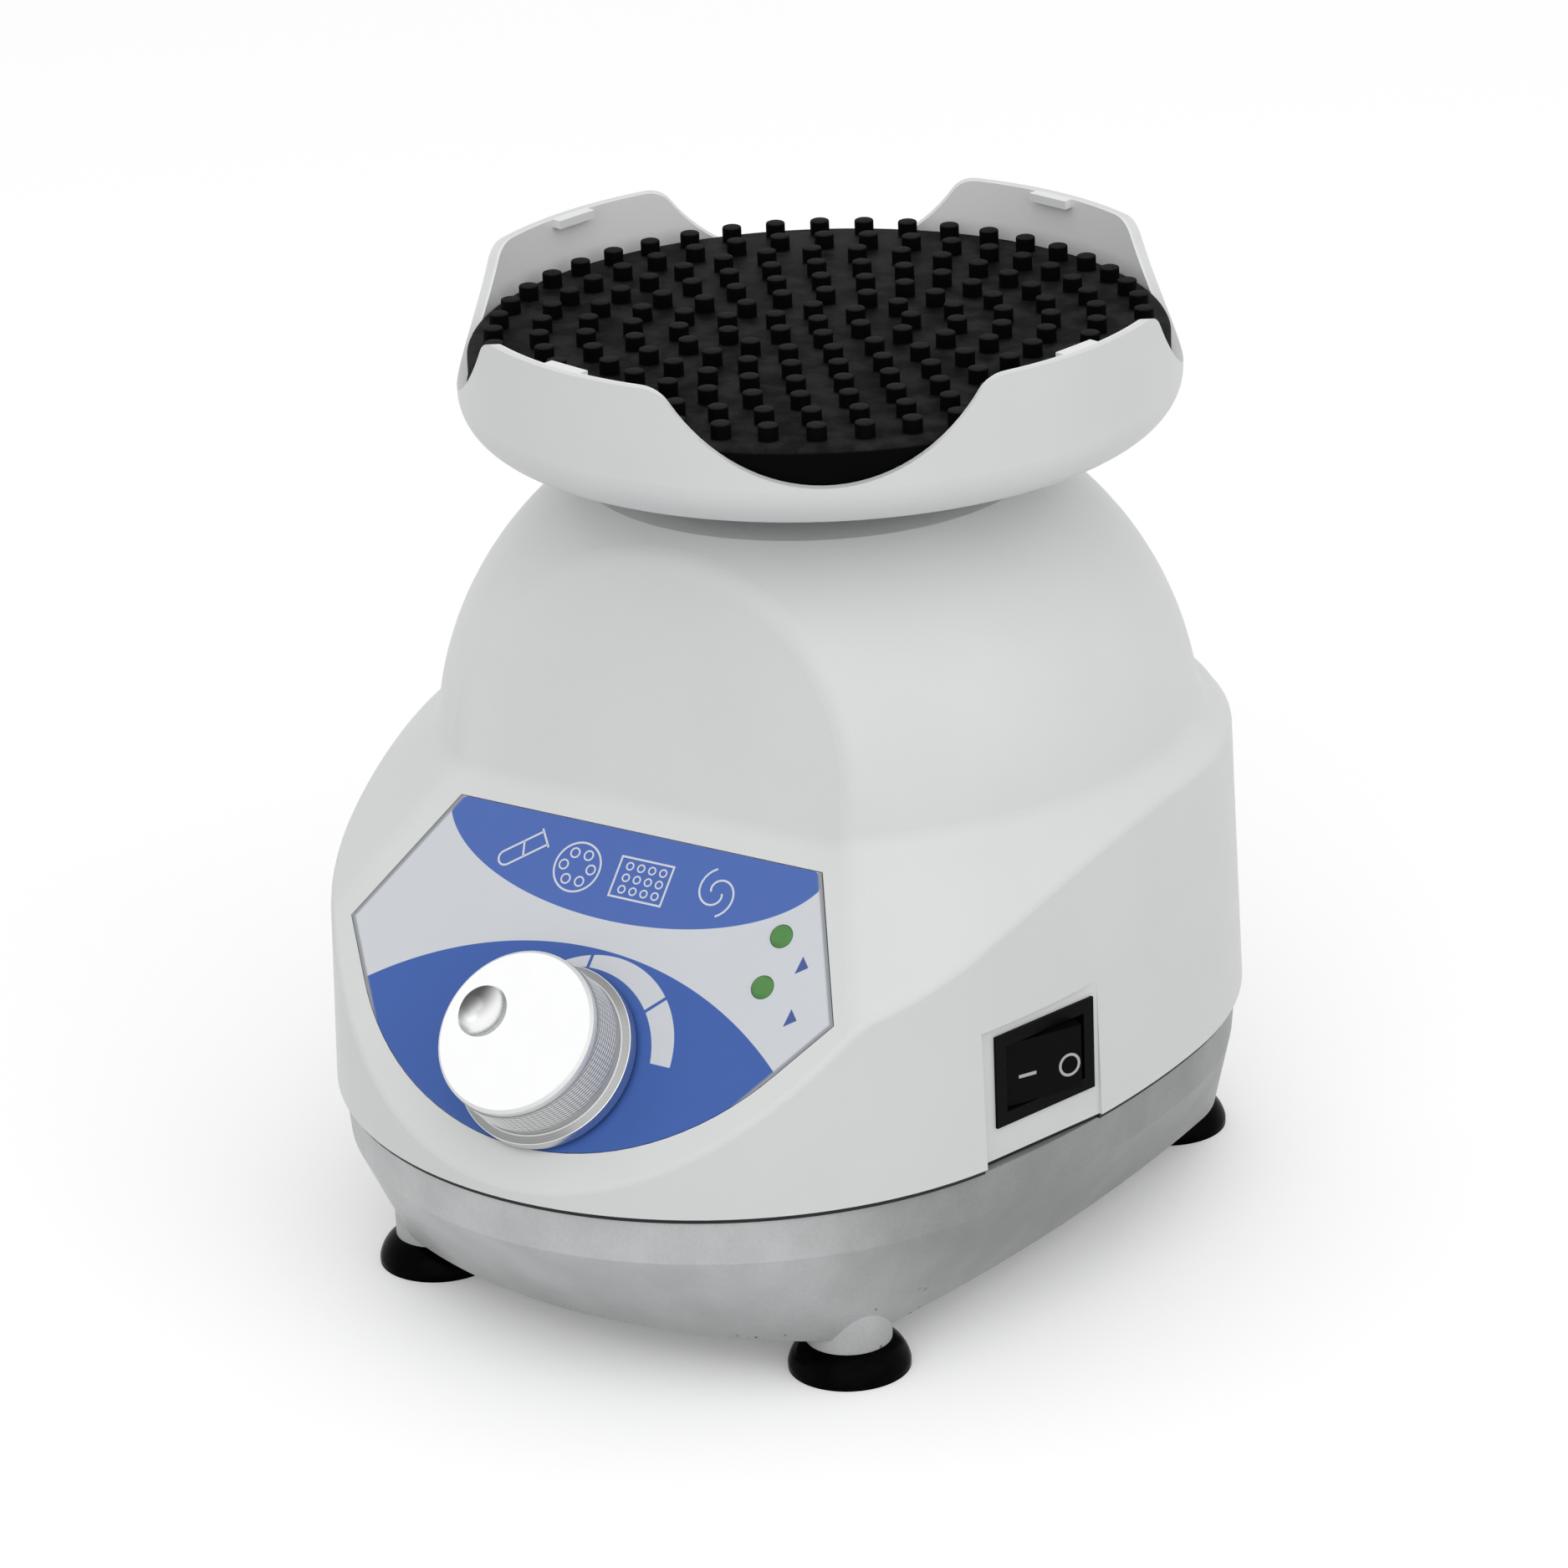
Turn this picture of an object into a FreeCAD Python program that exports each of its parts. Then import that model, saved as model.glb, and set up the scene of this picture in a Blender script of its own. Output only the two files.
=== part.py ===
"""Bench vortex mixer with a cupped orbital head, a sloped control panel and suction feet.

Frame: millimetres, +Z up, the control panel faces -Y, and the origin lies on the bench
under the middle of the housing. The driving dimensions are cells of the sheet "Dims".
"""
import FreeCAD, Part

import math
import os
import re

import Sketcher
from FreeCAD import Placement, Rotation, Vector

SIZES = {
    # plan outline at the seam: two end arcs joined by tangent side arcs
    "front_radius": 63.3, "front_centre": -16.2, "side_radius": 166.75,
    "rear_radius": 66.95, "rear_centre": 16.95,
    # base casting
    "base_bottom": 7.5, "crease_height": 26.5, "seam_height": 34.2, "crease_inset": 0.7,
    "foot_edge_front": -63.1, "foot_edge_rear": 74.2, "foot_front_radius": 86, "foot_rear_radius": 100,
    "foot_front_corner": 16, "foot_rear_corner": 21, "foot_half_width": 53.4, "foot_side_radius": 360,
    "foot_side_centre": 27,
    "split_half": 30,
    "base_floor": 18, "base_rim": 5, "floor_inset": 16, "casting_post_base": 11,
    # feet
    "foot_spread": 40.2, "front_foot": -45, "rear_foot": 57.8,
    "cup_radius": 9.9, "cup_height": 5, "cup_lip": 1, "cup_rim": 1.1, "cup_ceiling": 1.9,
    "foot_boss_radius": 7, "foot_bore": 2.2, "foot_screw_radius": 2, "foot_screw_top": 14,
    "foot_head_radius": 3.7, "foot_head": 1.4,
    # seam gasket
    "gasket_thickness": 0.9, "gasket_bead": 0.5, "gasket_width": 4,
    # upper housing
    "wall": 2.5, "housing_lip": 1.1, "draft": 1.6, "motor_centre": 14.4,
    "dome_arc": 56.6, "dome_offset": 6.5, "dome_arc_height": 80.1, "dome_top": 127.5,
    "ledge_height": 85.4, "ledge_angle": 42.3, "ledge_fillet": 5, "neck_radius": 19.6,
    "shoulder_slope": 13.9, "shoulder_drop": 5.4, "shoulder_top": 84.5, "shoulder_round": 6.5,
    "edge_round": 8, "crease_round": 1.5, "arch_round": 6, "ledge_crown": 4, "shoulder_start": 1.5,
    "shoulder_bend": 60,
    # front: sloped control panel below a leaning arch face
    "panel_tilt": 47.2, "panel_top_back": -39.2, "panel_top_height": 81.8, "panel_brow": 4.2,
    "arch_lean": 12.6,
    "overlay_top_half": 34.4, "overlay_side_half": 46, "overlay_side_drop": 23.6,
    "overlay_low_half": 39.2, "overlay_low_drop": 33.3, "overlay_arc": 47.5,
    "overlay_thickness": 0.6, "overlay_gap": 0.2,
    "led_side": 31.6, "led_upper_drop": 11.4, "led_lower_drop": 20.1, "led_radius": 1.9, "led_rise": 0.5,
    "led_bevel": 0.5,
    # speed control
    "knob_drop": 39.3, "knob_radius": 13.6, "knob_height": 13.2, "knob_flange": 15.15,
    "knob_flange_height": 2.9, "knob_step": 0.6, "knob_bevel": 0.5, "knob_clearance": 0.9,
    "knob_hollow": 8, "knob_hollow_top": 3.6, "dimple_radius": 6, "dimple_depth": 1.9,
    "dimple_reach": 7.3, "dimple_turn": 74,
    "pot_radius": 8, "pot_depth": 9, "pot_bush": 3.5, "pot_bush_rise": 3, "pot_shaft_radius": 3,
    "pot_shaft_top": 10.5, "pot_shaft_foot": 6, "nut_flats": 11, "nut_thickness": 2,
    "board_width": 70, "board_length": 42, "board_thickness": 1.6, "board_drop": 5,
    "knob_screw_radius": 1.5, "knob_screw_height": 7,
    # rocker switch on a flat on the right wall
    "switch_out": 63.2, "switch_along": -21.1, "switch_height": 48.3, "switch_turn": -14.5,
    "flat_before": 14.6, "flat_behind": 12.2, "flat_above": 10,
    "bezel_length": 21.7, "bezel_height": 15.7, "bezel_rise": 0.5, "bezel_frame": 2.2,
    "bezel_body_depth": 12, "bezel_body_inset": 0.9, "rocker_gap": 0.3, "rocker_swing": 13,
    "rocker_pivot_depth": 4, "rocker_depth": 7.5, "rocker_rise": 1.25,
    # mains inlet on a flat on the rear wall
    "inlet_height": 54, "inlet_recess": 3.4, "inlet_flat_width": 37, "inlet_flat_height": 31,
    "inlet_flange_width": 31, "inlet_flange_height": 25, "inlet_flange": 2.2,
    "inlet_body_width": 27.4, "inlet_body_height": 20, "inlet_body_depth": 20,
    "socket_width": 24.4, "socket_height": 16.4, "socket_depth": 15.5, "socket_chamfer": 4.6,
    "pin_pitch": 7, "pin_thickness": 2, "pin_width": 4, "pin_length": 17, "pin_lift": 2,
    # screws that hold the housing on the base
    "tower_side": 44, "tower_front": -33.8, "tower_rear": 40.2, "tower_radius": 4.8, "tower_top": 50,
    "tower_bore": 2.1, "tower_screw": 2, "tower_screw_top": 46, "tower_head_radius": 3.6,
    "tower_head": 3.2, "tower_counterbore": 4.2, "web_thickness": 3,
    # spring-borne motor carriage
    "plate_bottom": 50, "plate_thickness": 4, "plate_radius": 45, "plate_clearance": 2, "press_travel": 2,
    "post_circle": 38, "post_radius": 3, "post_top": 64, "post_root": 13, "post_boss_radius": 7.5,
    "post_boss_top": 22, "bush_radius": 5, "bush_flange": 6.5, "bush_flange_thickness": 1.5,
    "bush_height": 8, "running_clearance": 0.05, "post_nut_radius": 5.5, "post_nut_height": 4,
    "spring_radius": 7, "spring_wire": 1.4, 
    "can_radius": 27, "can_height": 54, "can_wall": 2, "stator_thickness": 7, "air_gap": 0.5,
    "core_margin": 11, "bearing_radius": 8.5, "bearing_thickness": 5, "shaft_radius": 3,
    "motor_screw_radius": 2, "motor_screw_circle": 20, "motor_screw_length": 9,
    "motor_head_radius": 3.5, "motor_head": 2.2,
    "trip_length": 20, "trip_width": 6.4, "trip_height": 10, "trip_reach": 25, "trip_clearance": 0.4,
    # crank, counterweight and head bearing
    "orbit_radius": 2.2, "rest_angle": 33.5, "crank_bottom": 111.2, "crank_thickness": 5.3,
    "crank_radius": 12, "shoulder_radius": 5.3, "pin_radius": 4, "pin_screw_radius": 2,
    "pin_head_radius": 5.2, "pin_head": 2.8, "weight_radius": 22, "weight_thickness": 4.6, "grub_radius": 1.5,
    "ball_radius": 11, "ball_thickness": 7, "ball_bottom": 119, "clip_thickness": 0.9, "clip_width": 1.9,
    "clip_groove": 0.4, "hub_radius": 14.5, "hub_bottom": 117.2, "hub_core": 7, "hub_core_top": 130,
    # tray and mat
    "tray_radius": 58.7, "tray_bottom": 132.3, "tray_top": 158.6, "tray_wall": 1.6, "tray_turn": -11.5,
    "bowl_flat": 30, "bowl_arc": 70, "bowl_corner": 7, "valley_radius": 28.6, "valley_bottom": 143.6,
    "crest_radius": 5, "tab_width": 8, "tab_depth": 1.8, "tab_height": 1.4,
    "mat_gap": 0.3, "mat_top": 149.3, "mat_thickness": 7.7, "rib_count": 8, "rib_thickness": 2,
    "rib_inner": 17, "rib_outer": 51, "nub_radius": 1.55, "nub_height": 2.4, "nub_pitch": 7.5, "nub_rings": 7,
    "tray_screw_circle": 10.7, "tray_screw_radius": 1.5, "tray_head_radius": 2.8, "tray_head": 1.7,
    "tray_screw_foot": 127,
    # rubber ring in the neck
    "seal_bore": 17.6, "seal_flange": 22.5, "seal_lip": 1.2, "seal_gap": 0.1,
}

doc = FreeCAD.newDocument("vortex_mixer")
sheet = doc.addObject("Spreadsheet::Sheet", "Dims")
for row, (alias, number) in enumerate(SIZES.items(), 1):
    sheet.set(f"A{row}", alias)
    sheet.set(f"B{row}", str(number))
    sheet.setAlias(f"B{row}", alias)
doc.recompute()

WORDS = re.compile(r"\b(" + "|".join(SIZES) + r")\b")
PARTS = []


def bound(size):
    """The expression with each size's name pointing at its cell."""
    return WORDS.sub(r"Dims.\1", str(size))


def value(size):
    """The number that a size, or an expression of sizes, has now."""
    return float(sheet.evalExpression(bound(size)))


def new(kind, name, **sizes):
    """An object of the document whose listed properties follow expressions of sizes."""
    item = doc.addObject(kind, name)
    for prop, size in sizes.items():
        item.setExpression(prop, bound(size))
    return item


def move(item, x=0, y=0, z=0, turn=None, axis=Vector(0, 0, 1)):
    """Place an item, with an optional turn about an axis through its own origin."""
    if turn is not None:
        item.Placement = Placement(Vector(), Rotation(axis, value(turn)))
        item.setExpression("Placement.Rotation.Angle", bound(turn))
    for name, size in zip("xyz", (x, y, z)):
        item.setExpression(f"Placement.Base.{name}", bound(size))
    return item


def on_panel(item):
    """Items drawn flat, with +Y up the slope and +Z outwards, go onto the control panel."""
    return move(item, 0, "panel_top_back", "panel_top_height", "panel_tilt", Vector(1, 0, 0))


def on_switch_flat(item):
    """Items drawn with +X outwards and +Z up go onto the switch's flat."""
    return move(item, "switch_out", "switch_along", "switch_height", "switch_turn")


def on_motor_axis(item, turn=None):
    return move(item, 0, "motor_centre", 0, turn)


HEAD_X = "(orbit_radius * cos(rest_angle))"
HEAD_Y = "(motor_centre + orbit_radius * sin(rest_angle))"


def on_head_axis(item, turn=None):
    return move(item, HEAD_X, HEAD_Y, 0, turn)


def cylinder(name, radius, bottom, top, x=0, y=0):
    item = new("Part::Cylinder", name, Radius=radius, Height=f"({top}) - ({bottom})")
    return move(item, x, y, bottom)


def box(name, x_range, y_range, z_range):
    lows, spans = [], []
    for low, high in (x_range, y_range, z_range):
        lows.append(low)
        spans.append(f"({high}) - ({low})")
    item = new("Part::Box", name, Length=spans[0], Width=spans[1], Height=spans[2])
    return move(item, *lows)


def fuse(name, items):
    item = doc.addObject("Part::MultiFuse", name)
    item.Shapes = items
    return item


def cut(name, base, tools):
    item = doc.addObject("Part::Cut", name)
    item.Base = base
    item.Tool = tools[0] if len(tools) == 1 else fuse(name + "_tools", tools)
    return item


def common(name, items):
    item = doc.addObject("Part::MultiCommon", name)
    item.Shapes = items
    return item


def group(name, items):
    item = doc.addObject("Part::Compound", name)
    item.Links = items
    return item


def carried(name, item):
    """An item that keeps its own placement inside a second one."""
    return group(name, [item])


def node(label, item):
    """Name a finished sub-part."""
    item.Label = label
    PARTS.append(item)
    return item


def bind(sketch, kind, *where, size):
    """Add a dimension to a sketch that follows an expression of sizes."""
    index = sketch.addConstraint(Sketcher.Constraint(kind, *where, value(size)))
    sketch.setExpression(f"Constraints[{index}]", bound(size))


def outline(name, corners, arcs=None):
    """A closed sketch through corners given as expressions; arcs maps an edge to its radius.

    A positive radius bows the edge to the right of its direction, a negative one to the left.
    """
    arcs = arcs or {}
    sketch = doc.addObject("Sketcher::SketchObject", name)
    points = [Vector(value(x), value(y), 0) for x, y in corners]
    count = len(points)
    ends = []
    for edge in range(count):
        start, end = points[edge], points[(edge + 1) % count]
        radius = value(arcs.get(edge, "0"))
        ends.append((2, 1) if radius < 0 else (1, 2))
        if radius == 0:
            sketch.addGeometry(Part.LineSegment(start, end))
            continue
        chord = end - start
        rise = abs(radius) - math.sqrt(radius**2 - chord.Length**2 / 4)
        right = Vector(chord.y, -chord.x, 0).normalize()
        middle = (start + end) / 2 + right * math.copysign(rise, radius)
        stops = (start, middle, end) if radius > 0 else (end, middle, start)
        sketch.addGeometry(Part.Arc(*stops))
    for edge in range(count):
        after = (edge + 1) % count
        sketch.addConstraint(Sketcher.Constraint("Coincident", edge, ends[edge][1], after, ends[after][0]))
    for edge, (x, y) in enumerate(corners):
        bind(sketch, "DistanceX", -1, 1, edge, ends[edge][0], size=x)
        bind(sketch, "DistanceY", -1, 1, edge, ends[edge][0], size=y)
        if edge in arcs:
            bind(sketch, "Radius", edge, size=f"abs({arcs[edge]})")
    return sketch


def turned(name, corners, arcs=None):
    """A solid of revolution about Z from an outline in (radius, height)."""
    sketch = outline(name + "_profile", corners, arcs)
    sketch.Placement = Placement(Vector(), Rotation(Vector(1, 0, 0), 90))
    item = doc.addObject("Part::Revolution", name)
    item.Source = sketch
    item.Axis = Vector(0, 0, 1)
    item.Angle = 360
    item.Solid = True
    return item


def extruded(name, sketch, length, direction=Vector(0, 0, 1), symmetric=False):
    item = doc.addObject("Part::Extrusion", name)
    item.Base = sketch
    item.DirMode = "Custom"
    item.Dir = direction
    item.Solid = True
    item.Symmetric = symmetric
    item.setExpression("LengthFwd", bound(length))
    return item


def side_arc_centre(radius_front, radius_side, radius_rear):
    """Centre of the right side arc, which both end arcs touch from inside."""
    front, rear = value("front_centre"), value("rear_centre")
    to_front, to_rear = radius_side - radius_front, radius_side - radius_rear
    along = (to_front**2 - to_rear**2 - front**2 + rear**2) / (2 * (rear - front))
    return Vector(-math.sqrt(to_rear**2 - (along - rear) ** 2), along, 0)


def mirrored(point):
    return Vector(-point.x, point.y, 0)


def oval(name, grow, height, split=False):
    """The plan outline, grown outwards, at a height; split cuts each end arc in three."""
    radii = [value(f"{size} + {grow}") for size in ("front_radius", "side_radius", "rear_radius")]
    side = side_arc_centre(*radii)
    front, rear = Vector(0, value("front_centre"), 0), Vector(0, value("rear_centre"), 0)
    front_tip, rear_tip = front - Vector(0, radii[0], 0), rear + Vector(0, radii[2], 0)
    meet_front = front + (front - side).normalize() * radii[0]
    meet_rear = rear + (rear - side).normalize() * radii[2]
    bulge = side + Vector(radii[1], 0, 0)
    sketch = doc.addObject("Sketcher::SketchObject", name)
    if split:
        half = value("split_half")
        cut_front = front + Vector(half, -math.sqrt(radii[0] ** 2 - half**2), 0)
        cut_rear = rear + Vector(half, math.sqrt(radii[2] ** 2 - half**2), 0)
        mid_front = front + ((cut_front + meet_front) / 2 - front).normalize() * radii[0]
        mid_rear = rear + ((cut_rear + meet_rear) / 2 - rear).normalize() * radii[2]
        stops = [(mirrored(cut_front), front_tip, cut_front), (cut_front, mid_front, meet_front),
                 (meet_front, bulge, meet_rear), (meet_rear, mid_rear, cut_rear),
                 (cut_rear, rear_tip, mirrored(cut_rear)),
                 (mirrored(cut_rear), mirrored(mid_rear), mirrored(meet_rear)),
                 (mirrored(meet_rear), mirrored(bulge), mirrored(meet_front)),
                 (mirrored(meet_front), mirrored(mid_front), mirrored(cut_front))]
        fronts, sides, rears = (7, 0, 1), (2, 6), (3, 4, 5)
    else:
        stops = [(mirrored(meet_front), front_tip, meet_front), (meet_front, bulge, meet_rear),
                 (meet_rear, rear_tip, mirrored(meet_rear)),
                 (mirrored(meet_rear), mirrored(bulge), mirrored(meet_front))]
        fronts, sides, rears = (0,), (1, 3), (2,)
    sketch.addGeometry([Part.Arc(*three) for three in stops])
    count = len(stops)
    for arc in range(count):
        after = (arc + 1) % count
        joint = "Tangent" if arc in sides or after in sides else "Coincident"
        sketch.addConstraint(Sketcher.Constraint(joint, arc, 2, after, 1))
    for family, centre, radius in ((fronts, "front_centre", "front_radius"),
                                   (rears, "rear_centre", "rear_radius")):
        lead = family[len(family) // 2]
        sketch.addConstraint(Sketcher.Constraint("PointOnObject", lead, 3, -2))
        bind(sketch, "DistanceY", -1, 1, lead, 3, size=centre)
        bind(sketch, "Radius", lead, size=f"{radius} + {grow}")
        for other in family:
            if other != lead:
                sketch.addConstraint(Sketcher.Constraint("Coincident", other, 3, lead, 3))
        if split:
            right, left = (2, 1) if family is fronts else (1, 2)
            bind(sketch, "DistanceX", -1, 1, lead, right, size="split_half")
            bind(sketch, "DistanceX", -1, 1, lead, left, size="-split_half")
    for arc in sides:
        bind(sketch, "Radius", arc, size=f"side_radius + {grow}")
    return move(sketch, 0, 0, height)


def touching_circle(first, first_radius, second, second_radius, radius, near):
    """Centre of a circle of a radius that lies inside two others and touches both, nearest to a point."""
    one, two = first_radius - radius, second_radius - radius
    line = second - first
    span = line.Length
    along = (one**2 - two**2 + span**2) / (2 * span)
    off = math.sqrt(one**2 - along**2)
    line.normalize()
    across = Vector(-line.y, line.x, 0)
    choices = [first + line * along + across * off, first + line * along - across * off]
    return min(choices, key=lambda centre: (centre - near).Length)


def foot_plan(name, height):
    """Outline of the casting's underside: bowed ends and sides with rounded corners."""
    side = value("foot_side_radius")
    flank = Vector(value("foot_half_width") - side, value("foot_side_centre"), 0)
    tips, bows, end_meets, side_meets = [], [], [], []
    for key, sign in (("front", -1), ("rear", 1)):
        end, corner = value(f"foot_{key}_radius"), value(f"foot_{key}_corner")
        tips.append(Vector(0, value(f"foot_edge_{key}"), 0))
        centre = tips[-1] - Vector(0, sign * end, 0)
        near = Vector(value("foot_spread"), value(f"{key}_foot"), 0)
        spot = touching_circle(centre, end, flank, side, corner, near)
        end_meets.append(centre + (spot - centre).normalize() * end)
        side_meets.append(flank + (spot - flank).normalize() * side)
        bows.append(spot + ((end_meets[-1] + side_meets[-1]) / 2 - spot).normalize() * corner)
    bulge = flank + Vector(side, 0, 0)
    right = [(end_meets[0], bows[0], side_meets[0]), (side_meets[0], bulge, side_meets[1]),
             (side_meets[1], bows[1], end_meets[1])]
    left = [tuple(mirrored(stop) for stop in reversed(stops)) for stops in reversed(right)]
    front = (mirrored(end_meets[0]), tips[0], end_meets[0])
    rear = (end_meets[1], tips[1], mirrored(end_meets[1]))
    sketch = doc.addObject("Sketcher::SketchObject", name)
    sketch.addGeometry([Part.Arc(*stops) for stops in [front] + right + [rear] + left])
    for arc in range(8):
        sketch.addConstraint(Sketcher.Constraint("Tangent", arc, 2, (arc + 1) % 8, 1))
    for arc, key, sign in ((0, "front", "+"), (4, "rear", "-")):
        sketch.addConstraint(Sketcher.Constraint("PointOnObject", arc, 3, -2))
        bind(sketch, "DistanceY", -1, 1, arc, 3, size=f"foot_edge_{key} {sign} foot_{key}_radius")
        bind(sketch, "Radius", arc, size=f"foot_{key}_radius")
    for arc, across in ((2, "foot_half_width - foot_side_radius"), (6, "foot_side_radius - foot_half_width")):
        bind(sketch, "DistanceX", -1, 1, arc, 3, size=across)
        bind(sketch, "DistanceY", -1, 1, arc, 3, size="foot_side_centre")
        bind(sketch, "Radius", arc, size="foot_side_radius")
    for arc, key in ((1, "front"), (3, "rear"), (5, "rear"), (7, "front")):
        bind(sketch, "Radius", arc, size=f"foot_{key}_corner")
    return move(sketch, 0, 0, height)


def loft(name, sections):
    item = doc.addObject("Part::Loft", name)
    item.Sections = sections
    item.Solid = True
    item.Ruled = True
    return item


FEET = {"front_left": ("-foot_spread", "front_foot"), "front_right": ("foot_spread", "front_foot"),
        "rear_left": ("-foot_spread", "rear_foot"), "rear_right": ("foot_spread", "rear_foot")}
TOWERS = [(f"{side}tower_side", along) for side in ("-", "") for along in ("tower_front", "tower_rear")]
POSTS = [(f"(post_circle * cos({turn}))", f"(motor_centre + post_circle * sin({turn}))")
         for turn in (30, 150, 270)]


# Base casting: a tapered tray with foot bosses, screw columns and sockets for the guide posts
def base_casting():
    skin = loft("base_skin", [foot_plan("base_foot_plan", "base_bottom"),
                              oval("base_crease", "(-crease_inset)", "crease_height", True),
                              oval("base_seam", "0", "seam_height", True)])
    well = loft("base_well", [oval("well_floor", "(-base_rim - floor_inset)", "base_floor"),
                              oval("well_rim", "(-base_rim)", "seam_height + 1")])
    solids = [cut("base_tray", skin, [well])]
    holes = []
    for key, (x, y) in FEET.items():
        solids.append(cylinder(f"foot_boss_{key}", "foot_boss_radius", "cup_height", "base_floor", x, y))
        holes.append(cylinder(f"foot_bore_{key}", "foot_bore", "cup_height - 1", "foot_screw_top + 1", x, y))
    for number, (x, y) in enumerate(TOWERS):
        solids.append(cylinder(f"column_{number}", "tower_radius", "base_floor - 4", "seam_height", x, y))
        holes.append(cylinder(f"column_bore_{number}", "tower_bore", "base_bottom - 1", "seam_height + 1",
                              x, y))
        holes.append(cylinder(f"counterbore_{number}", "tower_counterbore", "base_bottom - 1",
                              "casting_post_base + 1", x, y))
    for number, (x, y) in enumerate(POSTS):
        solids.append(cylinder(f"post_boss_{number}", "post_boss_radius", "base_floor - 4", "post_boss_top",
                               x, y))
        holes.append(cylinder(f"post_socket_{number}", "post_radius", "post_root", "post_boss_top + 1", x, y))
    return node("base_casting", cut("base", fuse("base_solids", solids), holes))


# Suction feet: rubber cups, each held by a screw from below
def feet():
    screws = []
    for key, (x, y) in FEET.items():
        cup = turned(f"cup_{key}", [
            ("cup_radius - cup_rim", "0"), ("cup_radius", "0"), ("cup_radius", "cup_lip"),
            ("foot_boss_radius", "cup_height"), ("foot_bore", "cup_height"),
            ("foot_bore", "cup_ceiling + foot_head"), ("foot_head_radius + 0.2", "cup_ceiling + foot_head"),
            ("foot_head_radius + 0.2", "cup_ceiling")], {2: "cup_height + 1", 7: "-2 * cup_radius"})
        node(f"suction_foot_{key}", move(cup, x, y))
        screw = turned(f"foot_screw_{key}", [
            ("0", "cup_ceiling"), ("foot_head_radius", "cup_ceiling"),
            ("foot_head_radius", "cup_ceiling + foot_head"),
            ("foot_screw_radius", "cup_ceiling + foot_head"), ("foot_screw_radius", "foot_screw_top"),
            ("0", "foot_screw_top")])
        screws.append(move(screw, x, y))
    node("foot_screws", group("foot_screw_set", screws))


def seam_gasket():
    outer = extruded("gasket_outer", oval("gasket_edge", "gasket_bead", "seam_height"), "gasket_thickness")
    inner = extruded("gasket_inner", oval("gasket_bore", "(gasket_bead - gasket_width)", "seam_height - 1"),
                     "gasket_thickness + 2")
    notch = on_switch_flat(carried("gasket_notch", box(
        "gasket_notch_block", ("gasket_bead - housing_lip", "15"), ("-flat_before", "flat_behind"),
        ("-switch_height", "0"))))
    return node("seam_gasket", cut("gasket", outer, [inner, notch]))


HOUSING_FOOT = "(seam_height + gasket_thickness)"
INLET_FACE = "(rear_centre + rear_radius + housing_lip - inlet_recess)"


BROW_Y = "(panel_top_back + panel_brow * cos(panel_tilt))"
BROW_Z = "(panel_top_height + panel_brow * sin(panel_tilt))"
SIDEWAYS = Rotation(Vector(0, 1, 0), 90) * Rotation(Vector(0, 0, 1), 90)


def slab(name, corners, arcs=None):
    """A prism right across the housing from an outline in (Y, Z)."""
    sketch = outline(name + "_profile", corners, arcs)
    sketch.Placement = Placement(Vector(), SIDEWAYS)
    return extruded(name, sketch, "4 * front_radius", Vector(1, 0, 0), True)


def rounded(name, base, radius, wanted):
    """Round the edges that a test picks."""
    doc.recompute()
    item = doc.addObject("Part::Fillet", name)
    item.Base = base
    size = value(radius)
    item.Edges = [(index, size, size) for index, edge in enumerate(base.Shape.Edges, 1)
                  if wanted(base.Shape, edge)]
    return item


def middle(edge):
    return edge.valueAt(edge.FirstParameter + 0.5 * (edge.LastParameter - edge.FirstParameter))


def sharp(shape, edge):
    """Whether the two faces at an edge meet at more than a slight angle."""
    faces = shape.ancestorsOfType(edge, Part.Face)
    if len(faces) < 2:
        return False
    spot = middle(edge)
    normals = [face.normalAt(*face.Surface.parameter(spot)) for face in faces]
    return normals[0].getAngle(normals[1]) > 0.2


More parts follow.
